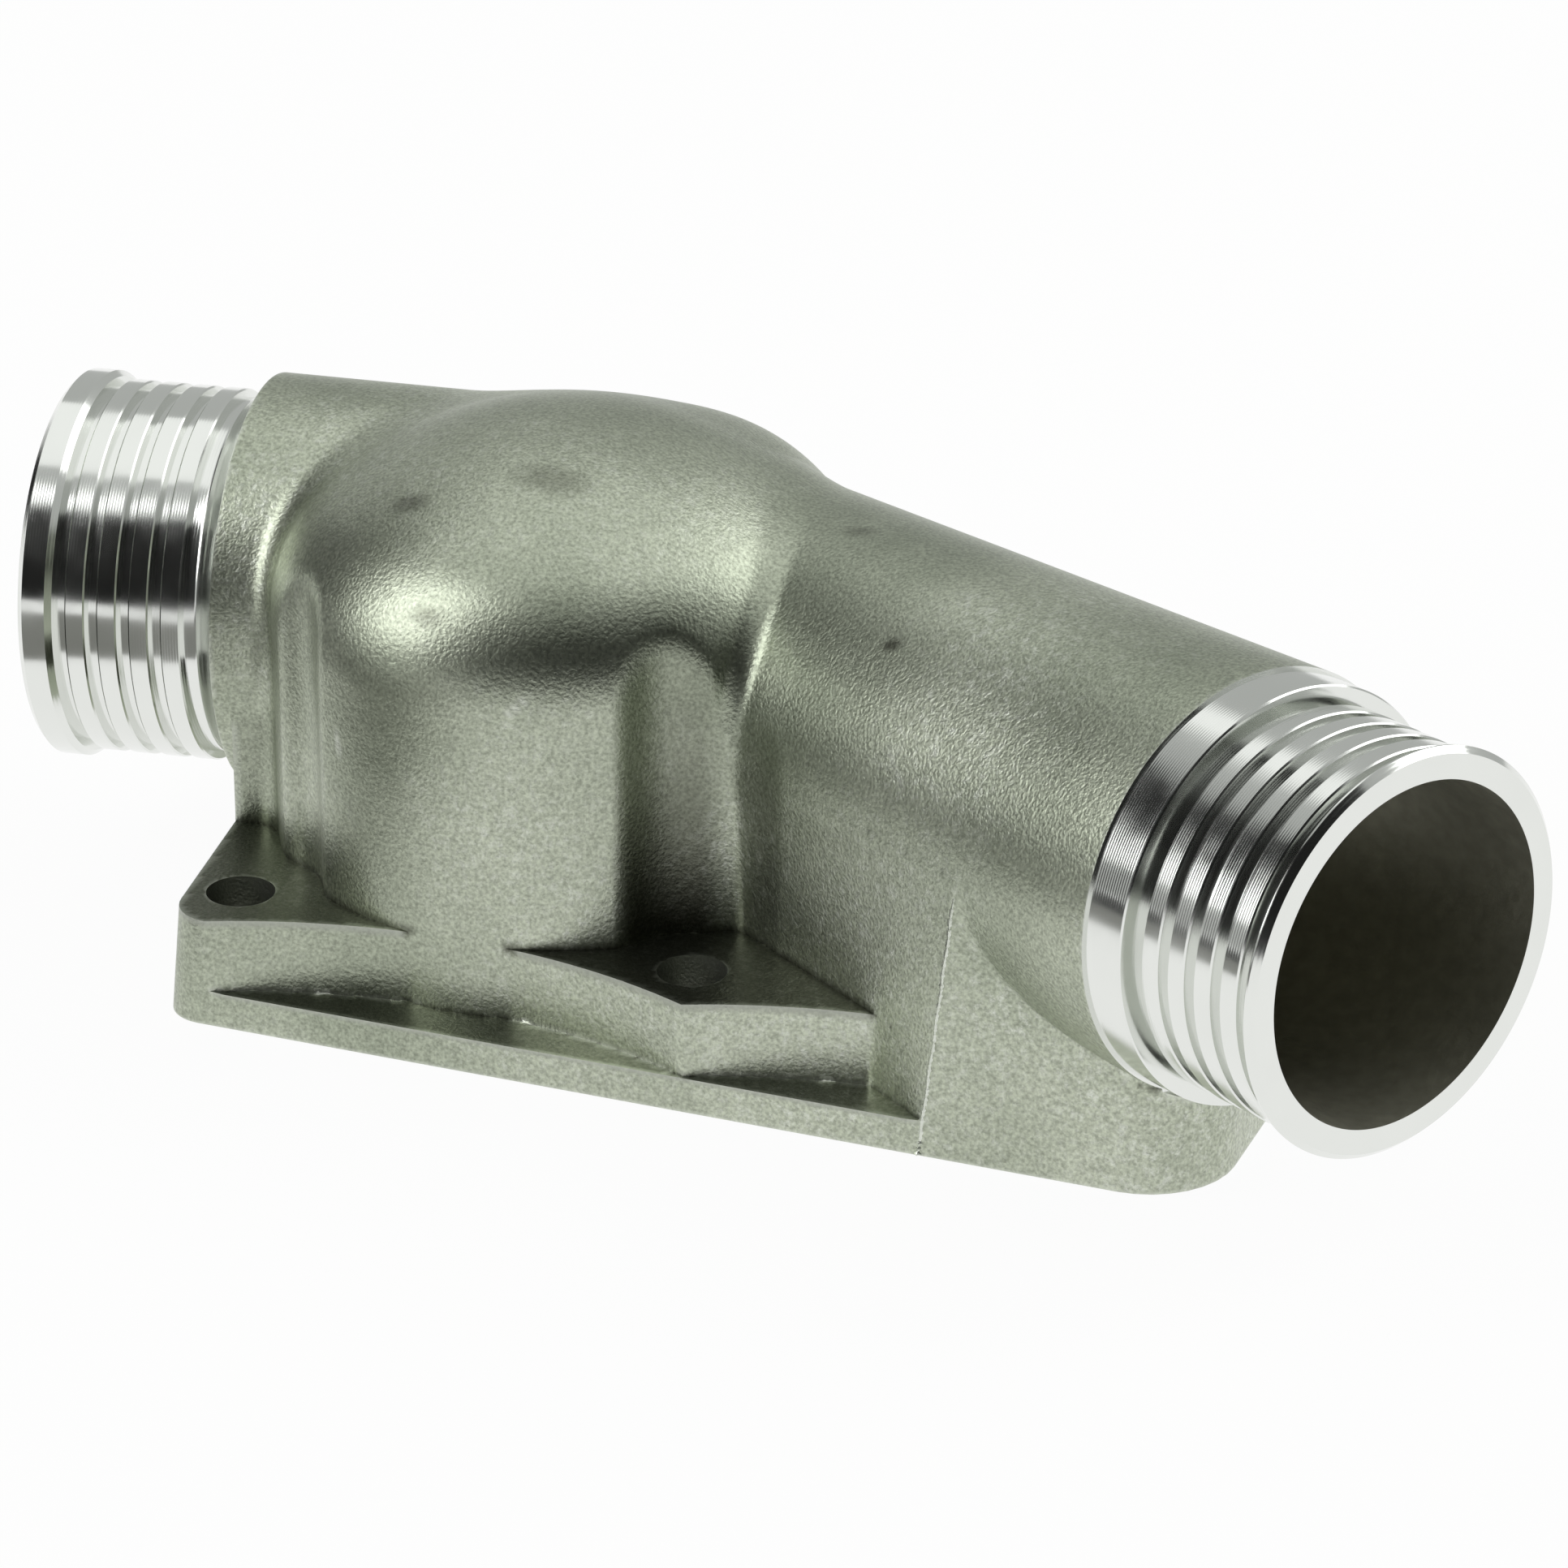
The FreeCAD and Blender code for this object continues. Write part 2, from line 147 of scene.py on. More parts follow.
class HousingCasting(bpy.types.PropertyGroup):
    """Sizes of the cast body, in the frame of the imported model."""
    chamber_radius: length("Chamber radius", "Outside radius of the domed chamber", 30.0)
    dome_height: length("Dome height", "Top of the dome", 56.0)
    shoulder_radius: length("Shoulder radius", "Rounding between wall and crown", 14.8)
    crown_radius: length("Crown radius", "Radius of the flatter crown", 42.2)
    wall: length("Wall", "Thickness of the cast walls", 4.0)
    seat_radius: length("Seat radius", "Radius of the thermostat seat", 27.1)
    seat_depth: length("Seat depth", "Depth of the thermostat seat", 3.0)
    axis_height: length("Axis height", "Height of both passages", 30.1)
    junction_across: length("Junction across", "Where the passages meet, along X", 6.1)
    junction_back: length("Junction back", "Where the passages meet, along Y", 14.0)
    bore_radius: length("Bore radius", "Radius of the bore at both mouths", 17.2)
    bore_taper: length("Bore taper", "How much narrower the left bore is inside", 0.8)
    bore_end: length("Bore end", "Where the right bore stops, along its axis", 32.0)
    bore_end_radius: length("Bore end radius", "Radius of the right bore there", 15.2)
    left_turn: angle("Left turn", "Angle between left passage and bolt row", 8.6)
    left_reach: length("Left reach", "Length of the left passage to its lip", 64.6)
    left_end: length("Left wall end", "Where the wall below the left passage ends", 41.8)
    left_half_width: length("Left half width", "Half width of that wall", 20.6)
    left_root_radius: length("Left root radius", "Outside radius of the left tube at its root", 21.0)
    left_cast_radius: length("Left cast radius", "Outside radius of the left tube at its neck", 21.5)
    right_turn: angle("Right turn", "Angle between right passage and bolt row", 27.7)
    right_reach: length("Right reach", "Length of the right passage to its lip", 104.5)
    right_root_radius: length("Right root radius", "Outside radius of the right tube at its root", 18.4)
    right_cast_radius: length("Right cast radius", "Outside radius of the right tube at its neck", 21.3)
    right_half_width: length("Right half width", "Half width of the wall behind the right tube", 18.0)
    bolt_spacing: length("Bolt spacing", "Distance between the bolts of a row", 49.0)
    front_row: length("Front row", "Front bolt row in front of the seat", 27.3)
    rear_row: length("Rear row", "Rear bolt row behind the seat", 39.2)
    bolt_hole_radius: length("Bolt hole radius", "Clearance hole for the bolts", 3.5)
    bolt_edge: length("Bolt edge", "Metal between a bolt's centre and the edge", 7.5)
    ledge_height: length("Ledge height", "Height of the thin front ledge", 3.8)
    boss_height: length("Boss height", "Height of the bolting face", 11.6)
    front_corner_radius: length("Front corner radius", "Rounding of the left front corner", 4.5)
    end_draft: length("End draft", "How far the left end of the flange leans", 1.2)
    scallop_radius: length("Scallop radius", "Radius of the scallops in the front edge", 64.0)
    scallop_pitch: length("Scallop pitch", "Distance between the scallops", 50.5)
    scallop_middle: length("Scallop middle", "Middle of the left scallop, along X", 1.0)
    scallop_depth: length("Scallop depth", "Depth of the scallops", 5.5)
    spanner_radius: length("Spanner radius", "Radius of the recesses above the front bolts", 8.3)
    foot_end: length("Foot end", "Right end of the foot, along X", 80.2)
    foot_corner_radius: length("Foot corner radius", "Rounding of the foot's corners", 9.0)
    foot_wall_start: length("Foot wall start", "Where the leaning wall meets the front, along X", 50.9)
    foot_wall_turn: angle("Foot wall turn", "Angle of the leaning wall's foot", 35.4)
    port_wall: length("Port wall", "Thickness of the wall round the port in the foot", 5.0)
    port_corner_radius: length("Port corner radius", "Rounding of the port's corners", 5.0)
    port_length: length("Port length", "Length of the port", 32.0)
    junction_fillet: length("Junction fillet", "Fillet where the tubes meet the chamber", 2.2)
    floor_fillet: length("Floor fillet", "Fillet where the walls meet the bolting face", 0.1)
    tube_fillet: length("Tube fillet", "Fillet between the tubes and the walls below", 0.3)
    recess_edge: length("Recess edge", "Rounding of the recesses' edges", 0.9)
    flash_width: length("Flash width", "Half width of the flash on the foot's ridge", 0.24)
    mesh_step: length("Mesh step", "Distance between the points of the casting's mesh", 0.68)


class HousingNecks(bpy.types.PropertyGroup):
    """Sizes of the turned necks."""
    neck_length: length("Neck length", "From the machined shoulder to the lip", 21.0)
    lip_radius: length("Lip radius", "Radius of the end lip", 20.3)
    lip_chamfer: length("Lip chamfer", "Chamfer of the lip's edges", 0.6)
    ring_radius: length("Ring radius", "Radius of the rings that grip the hose", 19.5)
    groove_radius: length("Groove radius", "Radius at the bottom of the grooves", 18.6)
    groove_width: length("Groove width", "Width of the grooves", 1.3)
    edge_break: length("Edge break", "Small chamfer on the ring edges", 0.16)
    left_lip_width: length("Left lip width", "Width of the left end land", 3.6)
    right_lip_width: length("Right lip width", "Width of the right lip bead", 1.4)
    left_collar_width: length("Left collar width", "Width of the left coned collar", 2.5)
    right_collar_width: length("Right collar width", "Width of the right collar", 4.7)
    collar_radius: length("Collar radius", "Radius of the collars", 21.0)
    turning_room_radius: length("Turning room radius", "Room cleared round the necks in turning", 21.6)


class HousingFinish(bpy.types.PropertyGroup):
    """Colours of the finishes and of the stage."""
    skin: colour("Cast skin", "Blasted aluminium skin", "#BBC1AF")
    skin_dark: colour("Dark skin", "Darker patches of the skin", "#9FA694")
    # also the colour of the lighter edges, partly a painted highlight
    sparkle_and_edge_highlight: colour("Sparkle", "Rubbed grains of the skin", "#E4E8DE")
    stain_and_shade: colour("Stain", "Dried stains and grime on the skin", "#3A392F")
    # darkens real stains and also paints shade on the bolting faces, low in the right recess and in the
    # bolt holes
    turned: colour("Turned", "Freshly turned aluminium", "#E6E8E4")
    bore: colour("Bore", "As-cast wall of the bores", "#A3A294")
    floor: colour("Floor", "Pale floor and backdrop", "#F4F4F2")
    card: colour("Card", "Dark cards beside the lamps", "#0C0C0B")
    grey: colour("Grey card", "Grey card in front of the left neck", "#8C8C88")


def add(tree, kind, inputs=None, **settings):
    """Adds a shader node with its settings; an input is a socket to link or a value to set."""
    node = tree.nodes.new("ShaderNode" + kind)
    for name, value in settings.items():
        setattr(node, name, value)
    for key, value in (inputs or {}).items():
        if isinstance(value, bpy.types.NodeSocket):
            tree.links.new(value, node.inputs[key])
        else:
            node.inputs[key].default_value = value
    return node


def rgba(values):
    """An opaque colour for a node's socket."""
    return (*values[:3], 1.0)


def new_material(name):
    """An empty node material and its nodes."""
    material = bpy.data.materials.new(name)
    material.use_nodes = True
    material.node_tree.nodes.clear()
    return material, material.node_tree


def round_join(first, second, radius):
    """Distance to two joined forms with a fillet of that radius between them. With all distances
    negated it gives what the forms share, with a rounded edge."""
    corner = np.hypot(np.maximum(radius - first, 0), np.maximum(radius - second, 0))
    return np.maximum(radius, np.minimum(first, second)) - corner


def polygon_distance(x, y, corners):
    """Signed distance in plan to a closed outline."""
    best = np.full(x.shape, np.inf)
    inside = np.zeros(x.shape, bool)
    for (ax, ay), (bx, by) in zip(corners, corners[1:] + corners[:1]):
        ex, ey = bx - ax, by - ay
        share = np.clip(((x - ax) * ex + (y - ay) * ey) / (ex * ex + ey * ey), 0, 1)
        best = np.minimum(best, (x - ax - share * ex) ** 2 + (y - ay - share * ey) ** 2)
        if ay != by:
            crossing = (ay > y) != (by > y)
            inside ^= crossing & (x < ex * (y - ay) / ey + ax)
    return np.where(inside, -1, 1) * np.sqrt(best)


def rounded_outline(corners, radii, steps=8):
    """Replaces each corner that has a radius by an arc."""
    result = []
    count = len(corners)
    for index, (corner, radius) in enumerate(zip(corners, radii)):
        here = np.array(corner)
        if radius <= 0:
            result.append(tuple(here))
            continue
        back = np.array(corners[index - 1]) - here
        ahead = np.array(corners[(index + 1) % count]) - here
        back /= np.linalg.norm(back)
        ahead /= np.linalg.norm(ahead)
        half = math.acos(np.clip(back @ ahead, -1, 1)) / 2
        centre = here + (back + ahead) / np.linalg.norm(back + ahead) * radius / math.sin(half)
        start = here + back * radius / math.tan(half) - centre
        end = here + ahead * radius / math.tan(half) - centre
        turn = math.atan2(start[0] * end[1] - start[1] * end[0], start @ end)
        for step in range(steps + 1):
            a = turn * step / steps
            result.append((
                centre[0] + start[0] * math.cos(a) - start[1] * math.sin(a),
                centre[1] + start[0] * math.sin(a) + start[1] * math.cos(a),
            ))
    return result


class CastForm:
    """The outside of the casting as a distance to its surface, in metres."""

    def __init__(self, casting, necks):
        self.c = casting
        self.n = necks
        self.front = casting.front_row + casting.bolt_edge
        self.junction = np.array([casting.junction_across, casting.junction_back])
        self.right = np.array([math.cos(casting.right_turn), -math.sin(casting.right_turn)])
        self.left = np.array([-math.cos(casting.left_turn), -math.sin(casting.left_turn)])
        self.right_shoulder = casting.right_reach - necks.neck_length
        self.left_shoulder = casting.left_reach - necks.neck_length
        self.draw_outlines()

    def draw_outlines(self):
        """Plans of the walls and of the flange."""
        c = self.c
        jx, jy = self.junction
        end_x = jx - c.left_end * math.cos(c.left_turn)
        end_y = jy - c.left_end * math.sin(c.left_turn)
        across = c.left_half_width
        side_x, side_y = across * math.sin(c.left_turn), across * math.cos(c.left_turn)
        self.rear_corner = (end_x - side_x, end_y + side_y)
        front_corner = (end_x + side_x, end_y - side_y)
        left_back = across / math.cos(c.left_turn)
        right_back = c.right_half_width / math.cos(c.right_turn)
        apex = (right_back - left_back) / (math.tan(c.left_turn) + math.tan(c.right_turn))
        self.taper = (c.right_cast_radius - c.right_root_radius) / self.right_shoulder
        rise = self.front + jy - c.right_root_radius * math.cos(c.right_turn)
        reach = rise / (math.sin(c.right_turn) + self.taper * math.cos(c.right_turn))
        self.flush = [self.flush_point(0.0), self.flush_point(reach)]
        inner, outer = self.flush
        step = c.wall / 2
        self.walls = rounded_outline([
            front_corner,
            (0.0, jy - left_back - jx * math.tan(c.left_turn)),
            (inner[0] + step, inner[1] + step),
            (outer[0] + step, -self.front),
            (c.foot_end, -self.front),
            (c.foot_end, jy + right_back - (c.foot_end - jx) * math.tan(c.right_turn)),
            (jx + apex, jy + left_back + apex * math.tan(c.left_turn)),
            self.rear_corner,
        ], [0, 0, 0, 0, c.foot_corner_radius, c.foot_corner_radius, 0, 0])
        inside = c.foot_wall_start + c.wall
        side = c.bolt_spacing / 2 + c.bolt_edge
        rear = c.rear_row + c.bolt_edge
        front_left = end_x + (self.front + end_y) * math.tan(c.left_turn)
        self.flange = rounded_outline([
            (front_left, -self.front),
            (inside, -self.front),
            (inside, -self.front + c.foot_corner_radius),
            (side, jy),
            (side, rear),
            (-side, rear),
            self.rear_corner,
        ], [c.front_corner_radius, 0, 0, 0, c.bolt_edge, c.bolt_edge, 0])

    def flush_point(self, along):
        """The widest point of the right tube's front side, at a distance along its axis."""
        out = self.c.right_root_radius + self.taper * along
        return (
            self.junction[0] + along * self.right[0] - out * math.sin(self.c.right_turn),
            self.junction[1] + along * self.right[1] - out * math.cos(self.c.right_turn),
        )

    def on_passage(self, x, y, direction):
        """How far points lie along a passage in plan, and how far to its left."""
        x, y = x - self.junction[0], y - self.junction[1]
        return x * direction[0] + y * direction[1], y * direction[0] - x * direction[1]

    def tube(self, x, y, z, direction, root, cast, shoulder):
        """Distance to a cone round one passage, open past its shoulder."""
        along, out = self.on_passage(x, y, direction)
        slope = (cast - root) / shoulder
        radial = np.hypot(out, z - self.c.axis_height)
        cone = (radial - root - slope * along) / math.hypot(1, slope)
        return np.maximum(np.maximum(cone, -along), along - shoulder - TUBE_PAST)

    def crown_places(self):
        """Radius and height of the shoulder's centre, and the height of the crown's centre."""
        c = self.c
        across = c.chamber_radius - c.shoulder_radius
        low = c.dome_height - c.crown_radius
        return across, low + math.sqrt((c.crown_radius - c.shoulder_radius) ** 2 - across ** 2), low

    def dome(self, x, y, z):
        """Distance to the chamber: wall, rounded shoulder and crown."""
        c = self.c
        radial = np.hypot(x, y)
        across, high, low = self.crown_places()
        shoulder = np.hypot(radial - across, z - high) - c.shoulder_radius
        crown = np.hypot(radial, z - low) - c.crown_radius
        on_crown = radial * (high - low) < across * (z - low)
        return np.where(z < high, radial - c.chamber_radius, np.where(on_crown, crown, shoulder))

    def leaning_wall(self, x, y, z):
        """Distance to the block behind the leaning wall, which turns and tips with height."""
        c = self.c
        # it leans on a little below the mating face, where it is cut off
        below = -0.1
        share = np.clip(z / c.axis_height, below, 1)
        inner, outer = self.flush
        run = math.hypot(outer[0] - inner[0], outer[1] - inner[1])
        low_outer = (c.foot_wall_start, -self.front)
        low_inner = (
            low_outer[0] - run * math.cos(c.foot_wall_turn),
            low_outer[1] + run * math.sin(c.foot_wall_turn),
        )
        ax, ay, bx, by = [
            low + (high - low) * share
            for low, high in zip((*low_inner, *low_outer), (*inner, *outer))
        ]
        size = np.hypot(bx - ax, by - ay)
        side = ((x - ax) * (by - ay) - (y - ay) * (bx - ax)) / size
        wall = np.maximum(side, -self.front - y)
        along, back = self.on_passage(x, y, self.right)
        ends = np.maximum(-along, x - c.foot_end + c.foot_corner_radius)
        return np.maximum(np.maximum(wall, back), np.maximum(ends, z - c.axis_height))

    def rooms(self, x, y):
        """Distance to the recesses above the front bolts."""
        across = np.abs(x) - self.c.bolt_spacing / 2
        return np.hypot(across, y + self.c.front_row) - self.c.spanner_radius

    def bolt_distance(self, x, y):
        """Distance in plan to the nearest bolt's centre."""
        across = np.abs(x) - self.c.bolt_spacing / 2
        return np.minimum(np.hypot(across, y + self.c.front_row), np.hypot(across, y - self.c.rear_row))

    def upper(self, x, y, z):
        """Distance to the tubes, the walls below them and the chamber with its recesses."""
        c = self.c
        left = self.tube(x, y, z, self.left, c.left_root_radius, c.left_cast_radius, self.left_shoulder)
        right = self.tube(
            x, y, z, self.right, c.right_root_radius, c.right_cast_radius, self.right_shoulder
        )
        plan = np.hypot(*self.on_passage(x, y, self.right))
        elbow = np.hypot(plan, z - c.axis_height) - c.left_root_radius
        tubes = np.minimum(round_join(left, right, c.junction_fillet), elbow)
        prism = np.maximum(polygon_distance(x, y, self.walls), z - c.axis_height)
        floor = np.minimum(prism, self.leaning_wall(x, y, z))
        walls = round_join(tubes, floor, c.tube_fillet)
        walls = round_join(walls, self.dome(x, y, z), c.junction_fillet)
        room = np.maximum(self.rooms(x, y), c.boss_height - OVERLAP - z)
        return -round_join(-walls, room, c.recess_edge)

    def plate(self, x, y, z):
        """Distance to the flange with its leaning end and its scallops above the ledge."""
        c = self.c
        lean = c.end_draft * (1 - np.clip(z / c.boss_height, 0, 1))
        share = np.clip((self.rear_corner[1] - y) / (self.rear_corner[1] + self.front), 0, 1)
        plan = polygon_distance(x + np.where(x < 0, lean * share, 0), y, self.flange)
        back = c.scallop_depth - self.front - c.scallop_radius
        scallops = np.full(x.shape, np.inf)
        for middle in (c.scallop_middle, c.scallop_middle + c.scallop_pitch):
            scallops = np.minimum(scallops, np.hypot(x - middle, y - back) - c.scallop_radius)
        scallops = np.maximum(scallops, c.ledge_height - z)
        return np.maximum(np.maximum(plan, z - c.boss_height), -scallops)

    def __call__(self, points):
        """Distance from each point to the casting's outside, negative inside it."""
        x, y, z = points.T
        body = round_join(self.upper(x, y, z), self.plate(x, y, z), self.c.floor_fillet)
        front = np.where(z < self.c.ledge_height + OVERLAP, -self.front - y, -np.inf)
        return np.maximum(np.maximum(body, front), -z - OVERLAP)


def surface_normals(form, points):
    """Unit normals of the surface near the points."""
    nudge = 0.02 * MM
    rise = np.stack([form(points + offset) - form(points - offset) for offset in np.eye(3) * nudge], 1)
    return rise / np.maximum(np.linalg.norm(rise, axis=1), 1e-12)[:, None]


def field_grid(form, low, high, step):
    """The first corner of a grid a little larger than the box, and the form's distance on it."""
    axes = [np.arange(a - 2 * step, b + 2 * step, step) for a, b in zip(low, high)]
    value = np.empty([len(axis) for axis in axes])
    for index, x in enumerate(axes[0]):
        y, z = np.meshgrid(axes[1], axes[2], indexing="ij")
        layer = np.stack([np.full(y.size, x), y.ravel(), z.ravel()], 1)
        value[index] = form(layer).reshape(y.shape)
    return np.array([axis[0] for axis in axes]), value


def neighbours(grid, axis, across=slice(None)):
    """The values of a grid and the next ones along an axis, for a part of the other two."""
    here = [across] * 3
    after = [across] * 3
    here[axis] = slice(0, -1)
    after[axis] = slice(1, None)
    return grid[tuple(here)], grid[tuple(after)]


def beside(cells, axis, down_one, down_two):
    """The cells that lie so many steps lower on the two other axes."""
    moved = cells.copy()
    moved[:, (axis + 1) % 3] -= down_one
    moved[:, (axis + 2) % 3] -= down_two
    return moved


def edge_planes(form, origin, value, step, axis):
    """Which edges of the grid along an axis the surface crosses, with the terms of the plane there."""
    a, b = neighbours(value, axis)
    crossed = (a < 0) != (b < 0)
    where = np.argwhere(crossed)
    point = where.astype(float)
    point[:, axis] += a[crossed] / (a[crossed] - b[crossed])
    point = origin + point * step
    normal = surface_normals(form, point)
    offset = (normal * point).sum(1)
    nx, ny, nz = normal.T
    return where, np.column_stack([
        nx * nx, nx * ny, nx * nz, ny * ny, ny * nz, nz * nz, normal * offset[:, None], point,
        np.ones(len(point)),
    ])


def cell_quads(inside, number):
    """A quad round each crossed edge of the grid, between the points of its four cells."""
    quads = []
    for axis in range(3):
        a, b = neighbours(inside, axis, slice(1, -1))
        where = np.argwhere(a != b)
        flip = b[tuple(where.T)]
        ring = [
            number[tuple(beside(where, axis, *down).T)]
            for down in ((0, 0), (-1, 0), (-1, -1), (0, -1))
        ]
        quad = np.stack(ring, 1)
        quad[flip] = quad[flip][:, ::-1]
        quads.append(quad)
    return np.concatenate(quads)


def surface_mesh(form, low, high, step):
    """A quad mesh of the surface. Each cell's point is where the planes that cross the cell meet,
    so straight edges stay straight and crisp."""
    origin, value = field_grid(form, low, high, step)
    cells = tuple(size - 1 for size in value.shape)
    names = []
    rows = []
    for axis in range(3):
        where, planes = edge_planes(form, origin, value, step, axis)
        for down in ((0, 0), (0, 1), (1, 0), (1, 1)):
            cell = beside(where, axis, *down)
            fits = ((cell >= 0) & (cell < cells)).all(1)
            names.append(np.ravel_multi_index(cell[fits].T, cells))
            rows.append(planes[fits])
    used, which = np.unique(np.concatenate(names), return_inverse=True)
    sums = np.column_stack([np.bincount(which, weights=row) for row in np.concatenate(rows).T])
    middle = sums[:, 9:12] / sums[:, 12:]
    # how strongly a point is held to the middle where the planes leave it free
    keep = 0.02
    square = sums[:, [0, 1, 2, 1, 3, 4, 2, 4, 5]].reshape(-1, 3, 3) + keep * np.eye(3)
    points = np.linalg.solve(square, (sums[:, 6:9] + keep * middle)[..., None])[..., 0]
    corner = origin + np.column_stack(np.unravel_index(used, cells)) * step
    points = np.clip(points, corner, corner + step)
    number = np.full(int(np.prod(cells)), -1, np.int64)
    number[used] = np.arange(len(used))
    return points, cell_quads(value < 0, number.reshape(cells))


def mesh_object(name, points, faces):
    """A new object from points and faces."""
    mesh = bpy.data.meshes.new(name)
    faces = [tuple(int(corner) for corner in face) for face in faces]
    mesh.from_pydata([tuple(point) for point in points], [], faces)
    mesh.validate()
    item = bpy.data.objects.new(name, mesh)
    bpy.context.scene.collection.objects.link(item)
    return item


def turn_outwards(mesh):
    """Turns every face outwards."""
    work = bmesh.new()
    work.from_mesh(mesh)
    bmesh.ops.recalc_face_normals(work, faces=work.faces)
    work.to_mesh(mesh)
    work.free()


def solid(name, rings, looped=False):
    """A closed solid through rings of points, capped at both ends or joined into a loop."""
    sides = len(rings[0])
    points = [point for ring in rings for point in ring]
    faces = []
    for index in range(len(rings) - (not looped)):
        here = index * sides
        after = (index + 1) % len(rings) * sides
        for side in range(sides):
            ahead = (side + 1) % sides
            faces.append((here + side, after + side, after + ahead, here + ahead))
    if not looped:
        faces.append(range(sides))
        faces.append(range(len(points) - 1, len(points) - 1 - sides, -1))
    item = mesh_object(name, points, faces)
    turn_outwards(item.data)
    return item


def lathe(name, profile, sides):
    """A solid turned about its X axis from (along, radius) points, which close on the axis or loop."""
    looped = profile[0][1] > 0
    turns = [2 * math.pi * side / sides for side in range(sides)]
    return solid(name, [
        [(along, radius * math.cos(turn), radius * math.sin(turn)) for turn in turns]
        for along, radius in (profile if looped else profile[1:-1])
    ], looped)


def column(name, corners, low, high):
    """An upright solid on an outline."""
    return solid(name, [[(x, y, z) for x, y in corners] for z in (low, high)])


def circle(x, y, radius, sides):
    """A round outline."""
    turns = [2 * math.pi * side / sides for side in range(sides)]
    return [(x + radius * math.cos(turn), y + radius * math.sin(turn)) for turn in turns]


def square_outline(reach):
    """A square round the origin, with its sides that far away."""
    return [(-reach, -reach), (reach, -reach), (reach, reach), (-reach, reach)]


def carve(item, tools):
    """Cuts the tools from the item and removes them."""
    for tool in tools:
        modifier = item.modifiers.new("carve", "BOOLEAN")
        modifier.operation = "DIFFERENCE"
        modifier.solver = "MANIFOLD"
        modifier.object = tool
        bpy.context.view_layer.update()
        cut = item.evaluated_get(bpy.context.evaluated_depsgraph_get())
        result = bpy.data.meshes.new_from_object(cut)
        if len(result.polygons) < len(item.data.polygons) / 4:
            raise RuntimeError(f"{tool.name} left nothing of {item.name}")
        item.modifiers.remove(modifier)
        item.data = result
        bpy.data.objects.remove(tool)


def passage_matrix(form, side):
    """Places a solid turned about X on a passage, with X pointing out of its neck."""
    direction = form.right if side == "right" else form.left
    turn = math.atan2(direction[1], direction[0])
    place = Matrix.Translation((form.junction[0], form.junction[1], form.c.axis_height))
    return place @ Matrix.Rotation(turn, 4, "Z")


def chamber_room(form):
    """Half section of the room inside the chamber."""
    c = form.c
    across, high, low = form.crown_places()
    share = (c.crown_radius - c.wall) / (c.crown_radius - c.shoulder_radius)
    return [
        (-TOOL_PAST, 0.0),
        (-TOOL_PAST, c.chamber_radius - c.wall),
        (high, c.chamber_radius - c.wall),
        (low + (high - low) * share, across * share),
        (c.dome_height - c.wall, 0.0),
    ]


def port_outline(form):
    """Plan of the port in the foot."""
    c = form.c
    front = c.port_wall - form.front
    end = c.foot_end - c.port_wall
    start = end - c.port_length
    slant = c.port_wall / math.cos(c.foot_wall_turn)
    slope = math.tan(c.right_turn)
    jx, jy = form.junction
    back = jy + (c.right_half_width - c.port_wall) / math.cos(c.right_turn)
    corners = [
        (c.foot_wall_start + (slant - c.port_wall) / math.tan(c.foot_wall_turn), front),
        (end, front),
        (end, back - (end - jx) * slope),
        (start, back - (start - jx) * slope),
        (start, slant - form.front + (c.foot_wall_start - start) * math.tan(c.foot_wall_turn)),
    ]
    return rounded_outline(corners, [c.port_corner_radius] * len(corners))


def casting_tools(form):
    """Everything that is cut from the casting: bores, seat, port, holes, ends and mating face."""
    c = form.c
    wide = form.n.turning_room_radius
    plugs = {
        "left_bore": ("left", 0.0, c.bore_radius - c.bore_taper, c.left_reach, c.bore_radius),
        "right_bore": ("right", c.bore_end, c.bore_end_radius, c.right_reach, c.bore_radius),
        "right_neck_room": ("right", form.right_shoulder, wide, c.right_reach + TOOL_PAST, wide),
        "left_neck_room": ("left", form.left_shoulder, wide, c.left_reach + TOOL_PAST, wide),
    }
    tools = []
    for name, (side, start, start_radius, end, end_radius) in plugs.items():
        profile = [(start, 0.0), (start, start_radius), (end, end_radius), (end, 0.0)]
        plug = lathe(name, profile, TOOL_SIDES)
        plug.data.transform(passage_matrix(form, side))
        tools.append(plug)
    room = lathe("chamber_room", chamber_room(form), TOOL_SIDES)
    room.data.transform(Matrix.Rotation(-math.pi / 2, 4, "Y"))
    tools.append(room)
    tools.append(column("seat", circle(0, 0, c.seat_radius, TOOL_SIDES), -TOOL_PAST, c.seat_depth))
    tools.append(column("port", port_outline(form), -TOOL_PAST, c.axis_height - c.bore_radius / 2))
    for row, back in (("front", -c.front_row), ("rear", c.rear_row)):
        for side in (-1, 1):
            hole = circle(side * c.bolt_spacing / 2, back, c.bolt_hole_radius, HOLE_SIDES)
            tools.append(column(f"{row}_hole", hole, -TOOL_PAST, c.boss_height + TOOL_PAST))
    tools.append(column("mating_face", square_outline(c.right_reach * 2), -TOOL_PAST, 0.0))
    return tools


